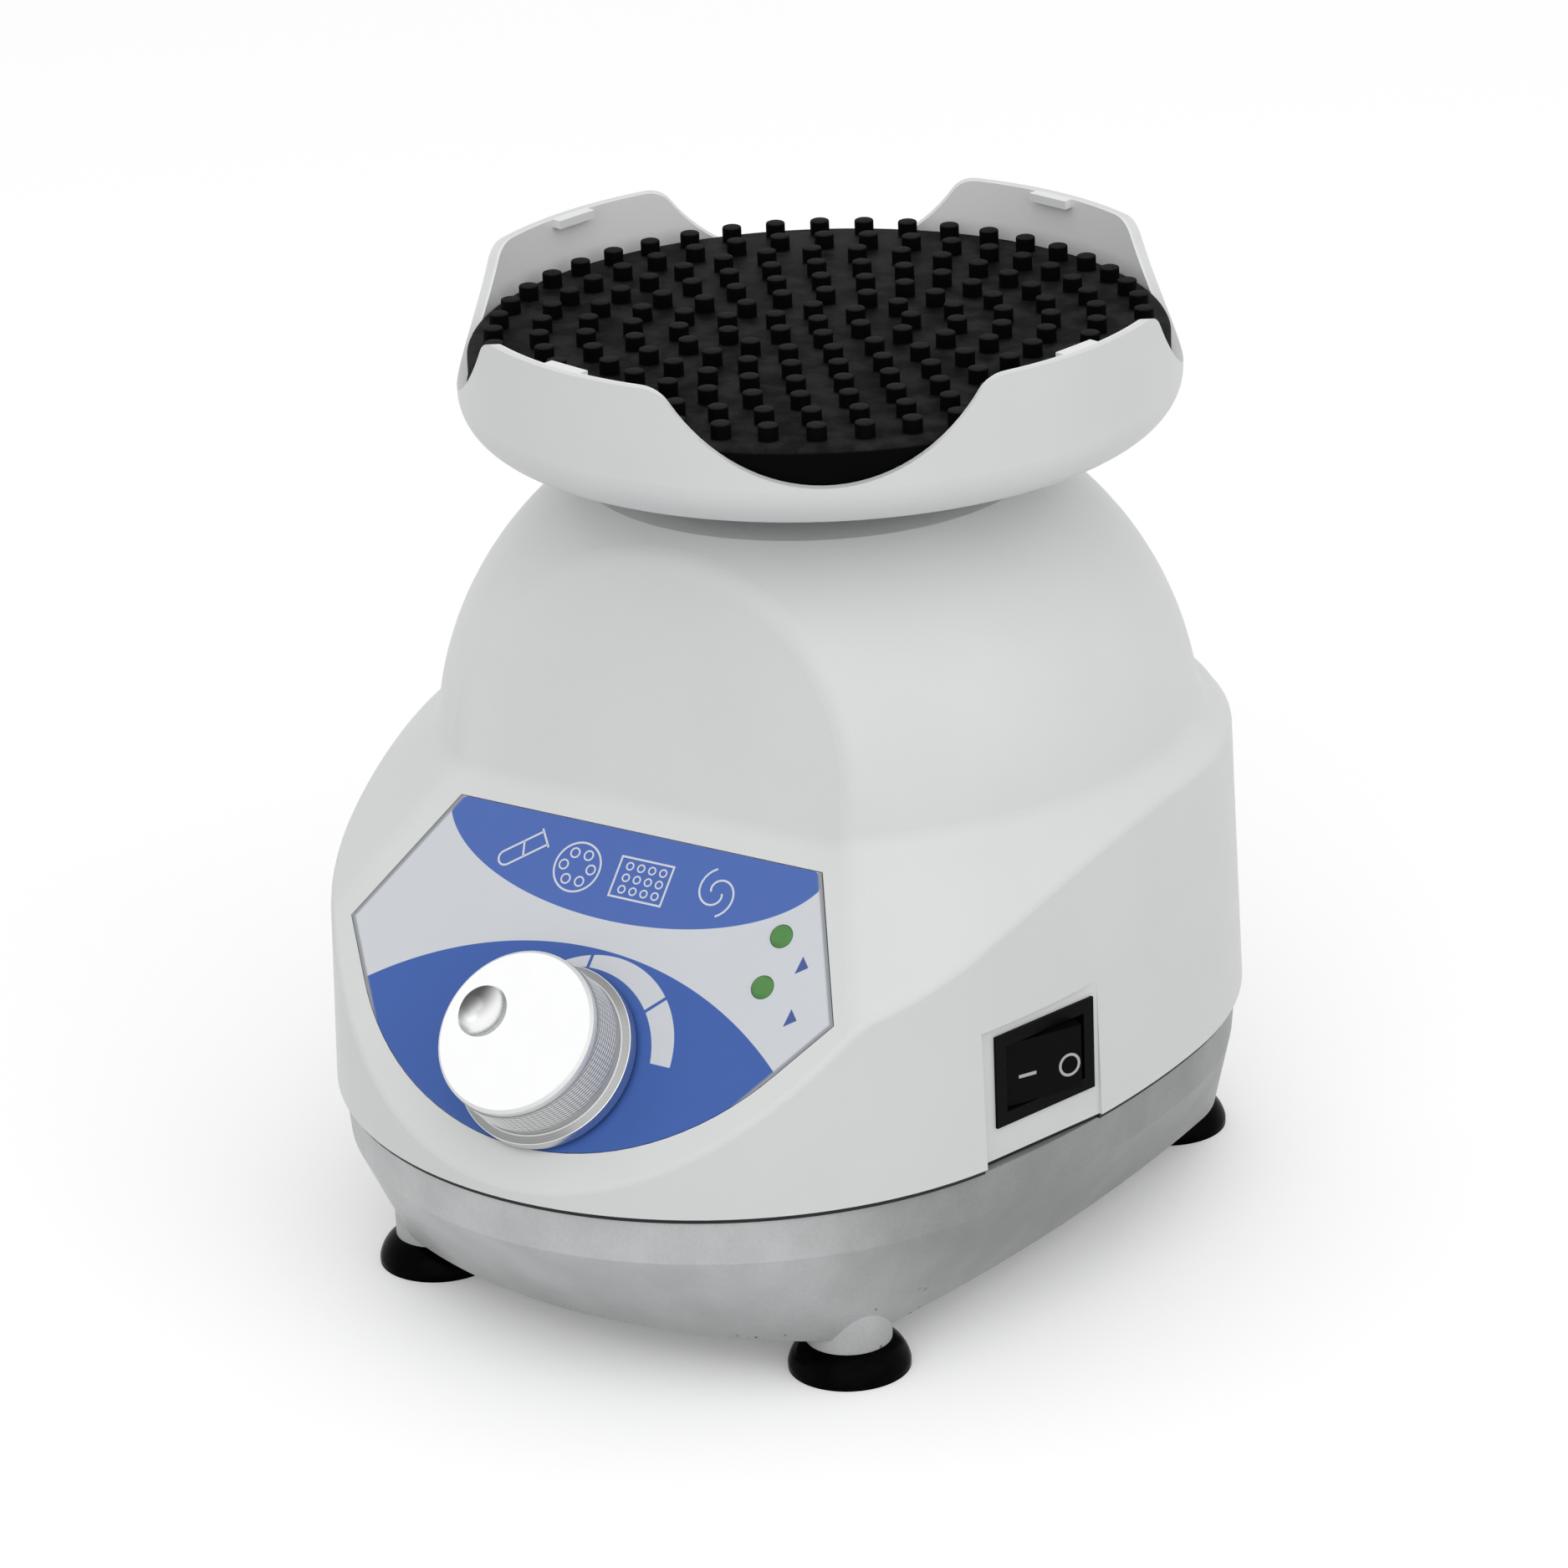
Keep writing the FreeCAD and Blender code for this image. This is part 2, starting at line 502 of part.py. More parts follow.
def housing_form(name, inset, foot, soft):
    """The housing's outer form, or with an inset the hollow inside it: ledge, dome and rear shoulder."""
    far = "(2 * front_radius)"
    top = "(dome_top + 5)"
    lip, lean = f"(housing_lip - {inset})", f"({top} - {HOUSING_FOOT}) * tan(draft)"
    walls = loft(name + "_walls", [oval(name + "_foot", lip, foot),
                                   oval(name + "_head", f"({lip} - {lean})", top)])
    arc, roof = f"(dome_arc - {inset})", f"(dome_top - {inset})"
    ledge_r, ledge_z = "(dome_offset + dome_arc)", f"(ledge_height - {inset} / cos(ledge_angle))"
    crown_r, crown_z = f"({ledge_r} - ledge_crown)", f"({ledge_z} + ledge_crown * tan(ledge_angle))"
    cone = on_motor_axis(turned(name + "_ledge", [
        ("0", foot), (far, foot), (far, f"{ledge_z} - ({far} - {ledge_r}) * tan(ledge_angle)"),
        (crown_r, crown_z), ("0", crown_z)]))
    panel_y = f"({BROW_Y} + {inset} / sin(panel_tilt))"
    above = slab(name + "_above_panel", [
        (f"{panel_y} - {far}", f"{BROW_Z} - {far} * tan(panel_tilt)"),
        (f"{panel_y} + {far}", f"{BROW_Z} + {far} * tan(panel_tilt)"),
        (f"{panel_y} - {far}", f"{BROW_Z} + {far} * tan(panel_tilt)")])
    skirt = cut(name + "_skirt", common(name + "_skirt_whole", [walls, cone]), [above])
    dome = on_motor_axis(turned(name + "_dome", [
        ("0", foot), (f"dome_offset + {arc}", foot), (f"dome_offset + {arc}", "dome_arc_height"),
        (f"dome_offset + sqrt({arc}^2 - ({roof} - dome_arc_height)^2)", roof), ("0", roof)], {2: arc}))
    arch_y = f"({BROW_Y} + {inset} / cos(arch_lean))"
    before = slab(name + "_before_arch", [
        (f"{arch_y} - ({BROW_Z} - {foot} + 1) * tan(arch_lean)", f"{foot} - 1"),
        (f"{arch_y} + ({top} - {BROW_Z}) * tan(arch_lean)", top),
        (f"{arch_y} - {far}", top), (f"{arch_y} - {far}", f"{foot} - 1")])
    arched = cut(name + "_arched", dome, [before])
    slope_z, top_z = f"(shoulder_top - shoulder_drop - {inset})", f"(shoulder_top - {inset})"
    bend_y = "(shoulder_drop / tan(shoulder_slope))"
    bend = "(shoulder_bend * tan(shoulder_slope / 2))"
    wedge = slab(name + "_wedge", [
        ("shoulder_start", foot), (far, foot), (far, top_z), (f"{bend_y} + {bend}", top_z),
        (f"{bend_y} - {bend} * cos(shoulder_slope)", f"{top_z} - {bend} * sin(shoulder_slope)"),
        ("shoulder_start", f"{slope_z} + shoulder_start * tan(shoulder_slope)")], {3: "shoulder_bend"})
    shoulder = common(name + "_shoulder", [walls, wedge])
    if not soft:
        return fuse(name, [skirt, arched, shoulder])

    def on_dome(across, height):
        rise = max(0, height - value("dome_arc_height"))
        reach = math.hypot(across - value("dome_offset"), rise)
        return abs(reach - value(arc)) < 0.01

    def outer(shape, edge):
        spot = middle(edge)
        far_out = math.hypot(spot.x, spot.y - value("motor_centre")) > value(f"{ledge_r} - ledge_crown / 2")
        return far_out and spot.z > value(f"{foot} + wall") and sharp(shape, edge)

    def panel_rim(shape, edge):
        spot = middle(edge)
        plane_z = value(f"{BROW_Z} + ({spot.y} - {panel_y}) * tan(panel_tilt)")
        return abs(spot.z - plane_z) < 0.01 and outer(shape, edge)

    def shoulder_rim(shape, edge):
        return middle(edge).y > value("shoulder_start + wall") and outer(shape, edge)

    def arch(shape, edge):
        spot = middle(edge)
        plane_y = value(f"{arch_y} + ({spot.z} - {BROW_Z}) * tan(arch_lean)")
        across = math.hypot(spot.x, spot.y - value("motor_centre"))
        return abs(spot.y - plane_y) < 0.01 and on_dome(across, spot.z)

    def dome_foot(shape, edge):
        spot = middle(edge)
        across = math.hypot(spot.x, spot.y - value("motor_centre"))
        on_ledge = abs(spot.z - value(f"{ledge_z} - ({across} - {ledge_r}) * tan(ledge_angle)")) < 0.01
        return on_ledge and on_dome(across, spot.z)

    shoulder = rounded(name + "_shoulder_soft", shoulder, "shoulder_round", shoulder_rim)
    skirt = rounded(name + "_panel_soft", skirt, "edge_round", panel_rim)
    skirt = rounded(name + "_skirt_soft", skirt, "crease_round", outer)
    arched = rounded(name + "_arched_soft", arched, "arch_round", arch)
    front = rounded(name + "_flare", fuse(name + "_front", [skirt, arched]), "ledge_fillet", dome_foot)
    return fuse(name, [front, shoulder])


# Upper housing: a moulded shell with a dome, a sloped panel, flats for switch and inlet
def upper_housing():
    skin = housing_form("housing_skin", "0", HOUSING_FOOT, True)
    hollow = housing_form("housing_hollow", "wall", f"({HOUSING_FOOT} - 1)", False)
    flat = box("switch_flat_block", ("0", "15"), ("-flat_before", "flat_behind"),
               ("-switch_height", "flat_above"))
    switch_flat = on_switch_flat(carried("switch_flat", flat))
    back = box("switch_back_block", ("-wall", "0"), ("-flat_before - wall", "flat_behind + wall"),
               (f"{HOUSING_FOOT} - switch_height", "flat_above + wall"))
    switch_back = on_switch_flat(carried("switch_back", back))
    inlet_half = "inlet_flat_width / 2"
    inlet_low, inlet_high = "inlet_height - inlet_flat_height / 2", "inlet_height + inlet_flat_height / 2"
    inlet_flat = box("inlet_flat", (f"-{inlet_half}", inlet_half), (INLET_FACE, f"{INLET_FACE} + 15"),
                     (inlet_low, inlet_high))
    inlet_back = box("inlet_back", (f"-{inlet_half} - wall", f"{inlet_half} + wall"),
                     (f"{INLET_FACE} - wall", INLET_FACE), (f"{inlet_low} - wall", f"{inlet_high} + wall"))
    shell = cut("housing_shell", skin, [hollow])
    backs = common("housing_backs", [fuse("housing_back_pads", [switch_back, inlet_back]), skin])
    solids = [shell, backs]
    holes = [switch_flat, inlet_flat]
    for number, (x, y) in enumerate(TOWERS):
        solids.append(cylinder(f"tower_{number}", "tower_radius", HOUSING_FOOT, "tower_top", x, y))
        out = ("-rear_radius", x) if x.startswith("-") else (x, "rear_radius")
        web = box(f"tower_web_{number}", out, (f"{y} - web_thickness / 2", f"{y} + web_thickness / 2"),
                  (HOUSING_FOOT, "tower_top"))
        solids.append(common(f"tower_web_trimmed_{number}", [web, skin]))
        holes.append(cylinder(f"tower_bore_{number}", "tower_bore", f"{HOUSING_FOOT} - 1",
                              "tower_screw_top + 1", x, y))
    neck = on_motor_axis(cylinder("neck_bore", "neck_radius", "dome_top - 3 * wall", "dome_top + 2"))
    neck.setExpression("Placement.Base.z", bound("dome_top - 3 * wall"))
    recess = extruded("overlay_recess", overlay_outline("overlay_recess_edge", "overlay_gap"),
                      "overlay_thickness + 1")
    move(recess, 0, 0, "-overlay_thickness")
    bush_hole = cylinder("pot_bush_hole", "pot_bush + 0.1", "-3 * wall", "1", 0, "-knob_drop")
    led_holes = [cylinder(f"led_hole_{number}", "led_radius + 0.1", "-3 * wall", "1", "led_side", f"-{drop}")
                 for number, drop in enumerate(("led_upper_drop", "led_lower_drop"))]
    panel_holes = on_panel(fuse("panel_holes", [recess, bush_hole] + led_holes))
    opening = box("switch_hole_block", ("-3 * wall", "1"),
                  ("bezel_body_inset - bezel_length / 2 - 0.1", "bezel_length / 2 - bezel_body_inset + 0.1"),
                  ("bezel_body_inset - bezel_height / 2 - 0.1", "bezel_height / 2 - bezel_body_inset + 0.1"))
    switch_hole = on_switch_flat(carried("switch_hole", opening))
    inlet_hole = box("inlet_hole", ("-inlet_body_width / 2 - 0.1", "inlet_body_width / 2 + 0.1"),
                     (f"{INLET_FACE} - 3 * wall", f"{INLET_FACE} + 1"),
                     ("inlet_height - inlet_body_height / 2 - 0.1",
                      "inlet_height + inlet_body_height / 2 + 0.1"))
    holes += [neck, panel_holes, switch_hole, inlet_hole]
    return node("upper_housing", cut("housing", fuse("housing_solids", solids), holes))


def overlay_outline(name, grow="0"):
    """Eight-sided film with a bowed lower edge, drawn from its top edge downwards."""
    top, side, low = f"overlay_top_half + {grow}", f"overlay_side_half + {grow}", f"overlay_low_half + {grow}"
    side_y, low_y = "-overlay_side_drop", "-overlay_low_drop"
    return outline(name, [(f"-({top})", grow), (f"-({side})", side_y), (f"-({low})", low_y), (low, low_y),
                          (side, side_y), (top, grow)], {2: f"overlay_arc + {grow}"})


# Control panel: film overlay, indicator lights, potentiometer and circuit board
def control_panel():
    film = extruded("overlay_film", overlay_outline("overlay_edge"), "overlay_thickness")
    move(film, 0, 0, "-overlay_thickness")
    openings = [cylinder("overlay_bush_hole", "pot_bush + 0.1", "-2", "2", 0, "-knob_drop")]
    openings += [cylinder(f"overlay_led_hole_{number}", "led_radius + 0.1", "-2", "2", "led_side", f"-{drop}")
                 for number, drop in enumerate(("led_upper_drop", "led_lower_drop"))]
    node("panel_overlay", on_panel(cut("overlay", film, openings)))
    board_top = "(-wall - pot_depth)"
    for label, drop in (("led_continuous", "led_upper_drop"), ("led_touch", "led_lower_drop")):
        light = turned(label + "_body", [
            ("0", board_top), ("led_radius", board_top), ("led_radius", "0"),
            ("led_radius - led_bevel", "led_rise"), ("0", "led_rise")])
        holder = carried(label + "_light", move(light, "led_side", f"-{drop}", 0))
        node(label, on_panel(holder))
    board = box("board_slab", ("-board_width / 2", "board_width / 2"),
                ("-board_drop - board_length", "-board_drop"), (f"{board_top} - board_thickness", board_top))
    node("control_board", on_panel(carried("board", board)))
    body = turned("pot_turned", [
        ("pot_shaft_radius + running_clearance", "-pot_shaft_foot"),
        ("pot_shaft_radius + running_clearance", "pot_bush_rise"),
        ("pot_bush", "pot_bush_rise"), ("pot_bush", "-wall"), ("pot_radius", "-wall"),
        ("pot_radius", board_top),
        ("0", board_top), ("0", "-pot_shaft_foot")])
    node("potentiometer", on_panel(carried("pot", move(body, 0, "-knob_drop", 0))))
    nut = new("Part::Prism", "pot_nut_hex", Circumradius="nut_flats / sqrt(3)", Height="nut_thickness")
    nut.Polygon = 6
    move(nut, 0, "-knob_drop", 0)
    bore = cylinder("pot_nut_bore", "pot_bush", "-1", "nut_thickness + 1", 0, "-knob_drop")
    node("potentiometer_nut", on_panel(cut("pot_nut", nut, [bore])))


# Speed knob: turned aluminium with a flange, a finger dimple and a grub screw
def speed_knob():
    shaft = cylinder("pot_stem", "pot_shaft_radius", "-pot_shaft_foot + running_clearance", "pot_shaft_top",
                     0, "-knob_drop")
    node("potentiometer_shaft", on_panel(carried("pot_shaft", shaft)))
    body = turned("knob_turned", [
        ("knob_hollow", "knob_clearance"), ("knob_flange", "knob_clearance"),
        ("knob_flange", "knob_flange_height"),
        ("knob_radius", "knob_flange_height + knob_step"), ("knob_radius", "knob_height - knob_bevel"),
        ("knob_radius - knob_bevel", "knob_height"), ("0", "knob_height"), ("0", "pot_shaft_top"),
        ("pot_shaft_radius", "pot_shaft_top"), ("pot_shaft_radius", "knob_hollow_top"),
        ("knob_hollow", "knob_hollow_top")])
    dimple = new("Part::Sphere", "knob_dimple_ball", Radius="dimple_radius")
    move(dimple, "-dimple_reach * sin(dimple_turn)", "dimple_reach * cos(dimple_turn)",
         "knob_height + dimple_radius - dimple_depth")
    screw_hole = knob_screw("knob_screw_hole", "knob_radius + 1")
    knob = cut("knob_cut", body, [dimple, screw_hole])
    node("speed_knob", on_panel(carried("knob", move(knob, 0, "-knob_drop", 0))))
    grub = carried("knob_grub", knob_screw("knob_grub_stud", "knob_radius - 2.5"))
    node("knob_set_screw", on_panel(carried("knob_grub_placed", move(grub, 0, "-knob_drop", 0))))


def knob_screw(name, reach):
    """A radial stud that points away from the dimple, from the shaft outwards."""
    stud = new("Part::Cylinder", name, Radius="knob_screw_radius", Height=f"{reach} - pot_shaft_radius")
    stud.Placement = Placement(Vector(), Rotation(Vector(0, 1, 0), 90))
    return move_only(stud, "pot_shaft_radius", 0, "knob_screw_height")


def move_only(item, x, y, z):
    """Place an item and keep the turn that it has."""
    for name, size in zip("xyz", (x, y, z)):
        item.setExpression(f"Placement.Base.{name}", bound(size))
    return item


# Rocker switch: a snap-in bezel and a rocker that tips about an upright pin line
def rocker_switch():
    half_y, half_z = "bezel_length / 2", "bezel_height / 2"
    flange = box("bezel_flange", ("0", "bezel_rise"), (f"-{half_y}", half_y), (f"-{half_z}", half_z))
    shank = box("bezel_shank", ("-bezel_body_depth", "0"),
                (f"bezel_body_inset - {half_y}", f"{half_y} - bezel_body_inset"),
                (f"bezel_body_inset - {half_z}", f"{half_z} - bezel_body_inset"))
    mouth = box("bezel_mouth", ("-bezel_body_depth + bezel_frame", "bezel_rise + 1"),
                (f"bezel_frame - {half_y}", f"{half_y} - bezel_frame"),
                (f"bezel_frame - {half_z}", f"{half_z} - bezel_frame"))
    node("switch_bezel", on_switch_flat(cut("bezel", fuse("bezel_solids", [flange, shank]), [mouth])))
    reach = f"({half_y} - bezel_frame - rocker_gap)"
    crown = "(rocker_pivot_depth + rocker_rise)"
    top_end = f"({reach} - {crown} * tan(rocker_swing))"
    low_end = f"({reach} - rocker_pivot_depth * tan(rocker_swing))"
    foot = "rocker_pivot_depth - rocker_depth"
    sketch = outline("rocker_profile", [
        (foot, f"-{reach} / 2"), ("rocker_pivot_depth - 1", f"-{low_end}"), (crown, f"-{top_end}"),
        (crown, top_end),
        ("rocker_pivot_depth - 1", low_end), (foot, f"{reach} / 2")])
    rocker = extruded("rocker_body", sketch, "bezel_height - 2 * bezel_frame - 2 * rocker_gap")
    move(rocker, 0, 0, f"-({half_z} - bezel_frame - rocker_gap)", "-rocker_swing")
    tipped = move(carried("rocker_tipped", rocker), "-rocker_pivot_depth", 0, 0)
    node("switch_rocker", on_switch_flat(carried("rocker", tipped)))


# Mains inlet: a flanged socket body with three blades, on the rear wall
def power_inlet():
    low, high = "inlet_height - {} / 2", "inlet_height + {} / 2"

    def block(name, width, height, y_range):
        return box(name, (f"-{width} / 2", f"{width} / 2"), y_range,
                   (low.format(height), high.format(height)))

    flange = block("inlet_flange_slab", "inlet_flange_width", "inlet_flange_height",
                   (INLET_FACE, f"{INLET_FACE} + inlet_flange"))
    body = block("inlet_body", "inlet_body_width", "inlet_body_height",
                 (f"{INLET_FACE} - inlet_body_depth", INLET_FACE))
    half_x, half_z = "socket_width / 2", "socket_height / 2"
    shape = outline("socket_outline", [
        (f"-{half_x}", f"inlet_height - {half_z}"), (half_x, f"inlet_height - {half_z}"),
        (half_x, f"inlet_height + {half_z} - socket_chamfer"),
        (f"{half_x} - socket_chamfer", f"inlet_height + {half_z}"),
        (f"socket_chamfer - {half_x}", f"inlet_height + {half_z}"),
        (f"-{half_x}", f"inlet_height + {half_z} - socket_chamfer")])
    shape.Placement = Placement(Vector(), Rotation(Vector(1, 0, 0), 90))
    socket = extruded("socket", shape, "socket_depth + inlet_flange", Vector(0, -1, 0))
    move_only(socket, 0, f"{INLET_FACE} + inlet_flange", 0)
    slots, blades = [], []
    places = (("-pin_pitch", "-pin_lift"), ("0", "pin_lift"), ("pin_pitch", "-pin_lift"))
    for number, (x, lift) in enumerate(places):
        root = f"{INLET_FACE} + inlet_flange - socket_depth"
        sides = (f"{x} - pin_thickness / 2", f"{x} + pin_thickness / 2")
        heights = (f"inlet_height + {lift} - pin_width / 2", f"inlet_height + {lift} + pin_width / 2")
        blades.append(box(f"blade_{number}", sides, (f"{root} - 4", f"{root} - 4 + pin_length"), heights))
        slots.append(box(f"blade_slot_{number}", sides, (f"{root} - 4", f"{root} + 1"), heights))
    node("power_inlet", cut("inlet", fuse("inlet_solids", [flange, body]), [socket] + slots))
    node("inlet_pins", group("blades", blades))


def housing_screws():
    screws = []
    seat = "(casting_post_base + 1)"
    for number, (x, y) in enumerate(TOWERS):
        screw = turned(f"tower_screw_{number}", [
            ("0", f"{seat} - tower_head"), ("tower_head_radius", f"{seat} - tower_head"),
            ("tower_head_radius", seat),
            ("tower_screw", seat), ("tower_screw", "tower_screw_top"), ("0", "tower_screw_top")])
        screws.append(move(screw, x, y))
    node("housing_screws", group("tower_screws", screws))


# Touch mechanism: guide posts, springs, stop nuts and a trip switch under the motor plate
def touch_mechanism():
    posts, nuts, springs, bushes = [], [], [], []
    plate_top = "(plate_bottom + plate_thickness)"
    bush_top = f"({plate_top} + bush_flange_thickness)"
    for number, (x, y) in enumerate(POSTS):
        posts.append(cylinder(f"post_{number}", "post_radius", "post_root", "post_top", x, y))
        nut = turned(f"post_nut_{number}", [
            ("post_radius", bush_top), ("post_nut_radius", bush_top),
            ("post_nut_radius", f"{bush_top} + post_nut_height"),
            ("post_radius", f"{bush_top} + post_nut_height")])
        nuts.append(move(nut, x, y))
        spring = turned(f"spring_{number}", [
            ("spring_radius - spring_wire", "post_boss_top"), ("spring_radius", "post_boss_top"),
            ("spring_radius", "plate_bottom"), ("spring_radius - spring_wire", "plate_bottom")])
        springs.append(move(spring, x, y))
        bush_bore, bush_foot = "(post_radius + running_clearance)", f"({bush_top} - bush_height)"
        bush = turned(f"bush_{number}", [
            (bush_bore, bush_foot), ("bush_radius", bush_foot),
            ("bush_radius", plate_top), ("bush_flange", plate_top), ("bush_flange", bush_top),
            (bush_bore, bush_top)])
        bushes.append(move(bush, x, y))
    node("guide_posts", group("posts", posts))
    node("stop_nuts", group("post_nuts", nuts))
    node("touch_springs", group("springs", springs))
    node("guide_bushes", group("bushes", bushes))
    trip_top = "(plate_bottom - press_travel - trip_clearance)"
    body = box("trip_body", ("-trip_length / 2", "trip_length / 2"),
               ("motor_centre - trip_reach - trip_width / 2", "motor_centre - trip_reach + trip_width / 2"),
               ("base_floor", f"{trip_top} - 1.5"))
    plunger = cylinder("trip_plunger", "1.5", f"{trip_top} - 2", trip_top, "trip_length / 4",
                       "motor_centre - trip_reach")
    node("touch_switch", fuse("trip", [body, plunger]))


# Motor carriage: plate, can, stator, bearings and screws, all riding on the posts
def motor_carriage():
    plate_top = "(plate_bottom + plate_thickness)"
    can_top = f"({plate_top} + can_height)"
    disc = on_motor_axis(cylinder("plate_disc", "plate_radius", "plate_bottom", plate_top))
    disc.setExpression("Placement.Base.z", bound("plate_bottom"))
    holes = [cylinder(f"plate_hole_{number}", "bush_radius", "plate_bottom - 1", f"{plate_top} + 1", x, y)
             for number, (x, y) in enumerate(POSTS)]
    screws = []
    for number in range(4):
        angle = 45 + 90 * number
        x, y = f"(motor_screw_circle * cos({angle}))", f"(motor_centre + motor_screw_circle * sin({angle}))"
        holes.append(cylinder(f"plate_screw_hole_{number}", "motor_screw_radius", "plate_bottom - 1",
                              f"{plate_top} + 1", x, y))
        screw = turned(f"motor_screw_{number}", [
            ("0", "plate_bottom - motor_head"), ("motor_head_radius", "plate_bottom - motor_head"),
            ("motor_head_radius", "plate_bottom"), ("motor_screw_radius", "plate_bottom"),
            ("motor_screw_radius", "plate_bottom + motor_screw_length"),
            ("0", "plate_bottom + motor_screw_length")])
        screws.append(move(screw, x, y))
    rear = box("plate_rear", ("-plate_radius", "plate_radius"),
               (f"{INLET_FACE} - inlet_body_depth - plate_clearance", INLET_FACE),
               ("plate_bottom - 1", f"{plate_top} + 1"))
    node("motor_plate", cut("plate", disc, holes + [rear]))
    node("motor_screws", group("motor_screw_set", screws))
    seat = "(bearing_thickness + can_wall)"
    inner = "(can_radius - can_wall)"
    shaft_hole = "(shaft_radius + 1)"
    shell = turned("can_shell", [
        ("bearing_radius", plate_top), ("can_radius", plate_top), ("can_radius", can_top),
        (shaft_hole, can_top),
        (shaft_hole, f"{can_top} - can_wall"), ("bearing_radius", f"{can_top} - can_wall"),
        ("bearing_radius", f"{can_top} - {seat}"), (inner, f"{can_top} - {seat}"),
        (inner, f"{plate_top} + {seat}"),
        ("bearing_radius", f"{plate_top} + {seat}")])
    on_motor_axis(shell)
    taps = [cylinder(f"can_tap_{number}", "motor_screw_radius", f"{plate_top} - 1",
                     "plate_bottom + motor_screw_length",
                     f"(motor_screw_circle * cos({45 + 90 * number}))",
                     f"(motor_centre + motor_screw_circle * sin({45 + 90 * number}))") for number in range(4)]
    node("motor_can", cut("can", shell, taps))
    core_low, core_high = f"({plate_top} + core_margin)", f"({can_top} - core_margin)"
    stator = turned("stator_ring", [
        (f"{inner} - stator_thickness", core_low), (inner, core_low), (inner, core_high),
        (f"{inner} - stator_thickness", core_high)])
    node("motor_stator", on_motor_axis(stator))
    ring = [("shaft_radius + running_clearance", "{}"), ("bearing_radius", "{}"),
            ("bearing_radius", "{} + bearing_thickness"),
            ("shaft_radius + running_clearance", "{} + bearing_thickness")]
    for label, foot in (("lower_bearing", f"({plate_top} + can_wall)"),
                        ("upper_bearing", f"({can_top} - {seat})")):
        race = turned(label + "_ring", [(x, y.format(foot)) for x, y in ring])
        node(label, on_motor_axis(race))


# Rotor: shaft, core, crank with its offset pin, counterweight and screws
def rotor():
    plate_top = "(plate_bottom + plate_thickness)"
    can_top = f"({plate_top} + can_height)"
    crank_top = "(crank_bottom + crank_thickness)"
    shaft_top = f"({crank_top} - 0.5)"
    shaft = turned("shaft_turned", [
        ("0", f"{plate_top} + can_wall"), ("shaft_radius", f"{plate_top} + can_wall"),
        ("shaft_radius", shaft_top), ("0", shaft_top)])
    node("motor_shaft", on_motor_axis(shaft))
    core_radius = "(can_radius - can_wall - stator_thickness - air_gap)"
    core = turned("core_turned", [
        ("shaft_radius", f"{plate_top} + core_margin"), (core_radius, f"{plate_top} + core_margin"),
        (core_radius, f"{can_top} - core_margin"), ("shaft_radius", f"{can_top} - core_margin")])
    node("motor_rotor", on_motor_axis(core))
    disc = cylinder("crank_disc", "crank_radius", "crank_bottom", crank_top)
    boss = cylinder("crank_shoulder", "shoulder_radius", crank_top, "ball_bottom - running_clearance",
                    "orbit_radius", 0)
    pin = cylinder("crank_pin", "pin_radius", crank_top, "ball_bottom + ball_thickness", "orbit_radius", 0)
    bore = cylinder("crank_bore", "shaft_radius", "crank_bottom - 1", shaft_top)
    thread = cylinder("crank_pin_thread", "pin_screw_radius", shaft_top + " + 0.5",
                      "ball_bottom + ball_thickness + 1", "orbit_radius", 0)
    grub_length = "crank_radius - shaft_radius - 1"
    grub_hole = radial_stud("crank_grub_hole", "crank_radius - shaft_radius + 1")
    crank = cut("crank_cut", fuse("crank_solids", [disc, boss, pin]), [bore, thread, grub_hole])
    node("crank", on_motor_axis(carried("crank_placed", crank), "rest_angle"))
    grub = radial_stud("crank_grub", grub_length)
    node("crank_set_screw", on_motor_axis(carried("crank_grub_placed", grub), "rest_angle"))
    half = cylinder("weight_disc", "weight_radius", "crank_bottom", "crank_bottom + weight_thickness")
    keep = box("weight_keep", ("-weight_radius", "0"), ("-weight_radius", "weight_radius"),
               ("crank_bottom", crank_top))
    eye = cylinder("weight_eye", "crank_radius", "crank_bottom - 1", f"{crank_top} + 1")
    weight = cut("weight_cut", common("weight_half", [half, keep]), [eye])
    node("counterweight", on_motor_axis(carried("weight_placed", weight), "rest_angle"))
    ball_top = "(ball_bottom + ball_thickness)"
    screw = turned("pin_screw", [
        ("0", f"{shaft_top} + 0.5"), ("pin_screw_radius", f"{shaft_top} + 0.5"),
        ("pin_screw_radius", f"{ball_top} + running_clearance"),
        ("pin_head_radius", f"{ball_top} + running_clearance"), ("pin_head_radius", f"{ball_top} + pin_head"),
        ("0", f"{ball_top} + pin_head")])
    node("crank_screw", on_head_axis(screw))


def radial_stud(name, length):
    """A grub screw that points along the crank, from the shaft outwards."""
    stud = new("Part::Cylinder", name, Radius="grub_radius", Height=length)
    stud.Placement = Placement(Vector(), Rotation(Vector(0, 1, 0), 90))
    return move_only(stud, "shaft_radius", 0, "crank_bottom + weight_thickness / 2")


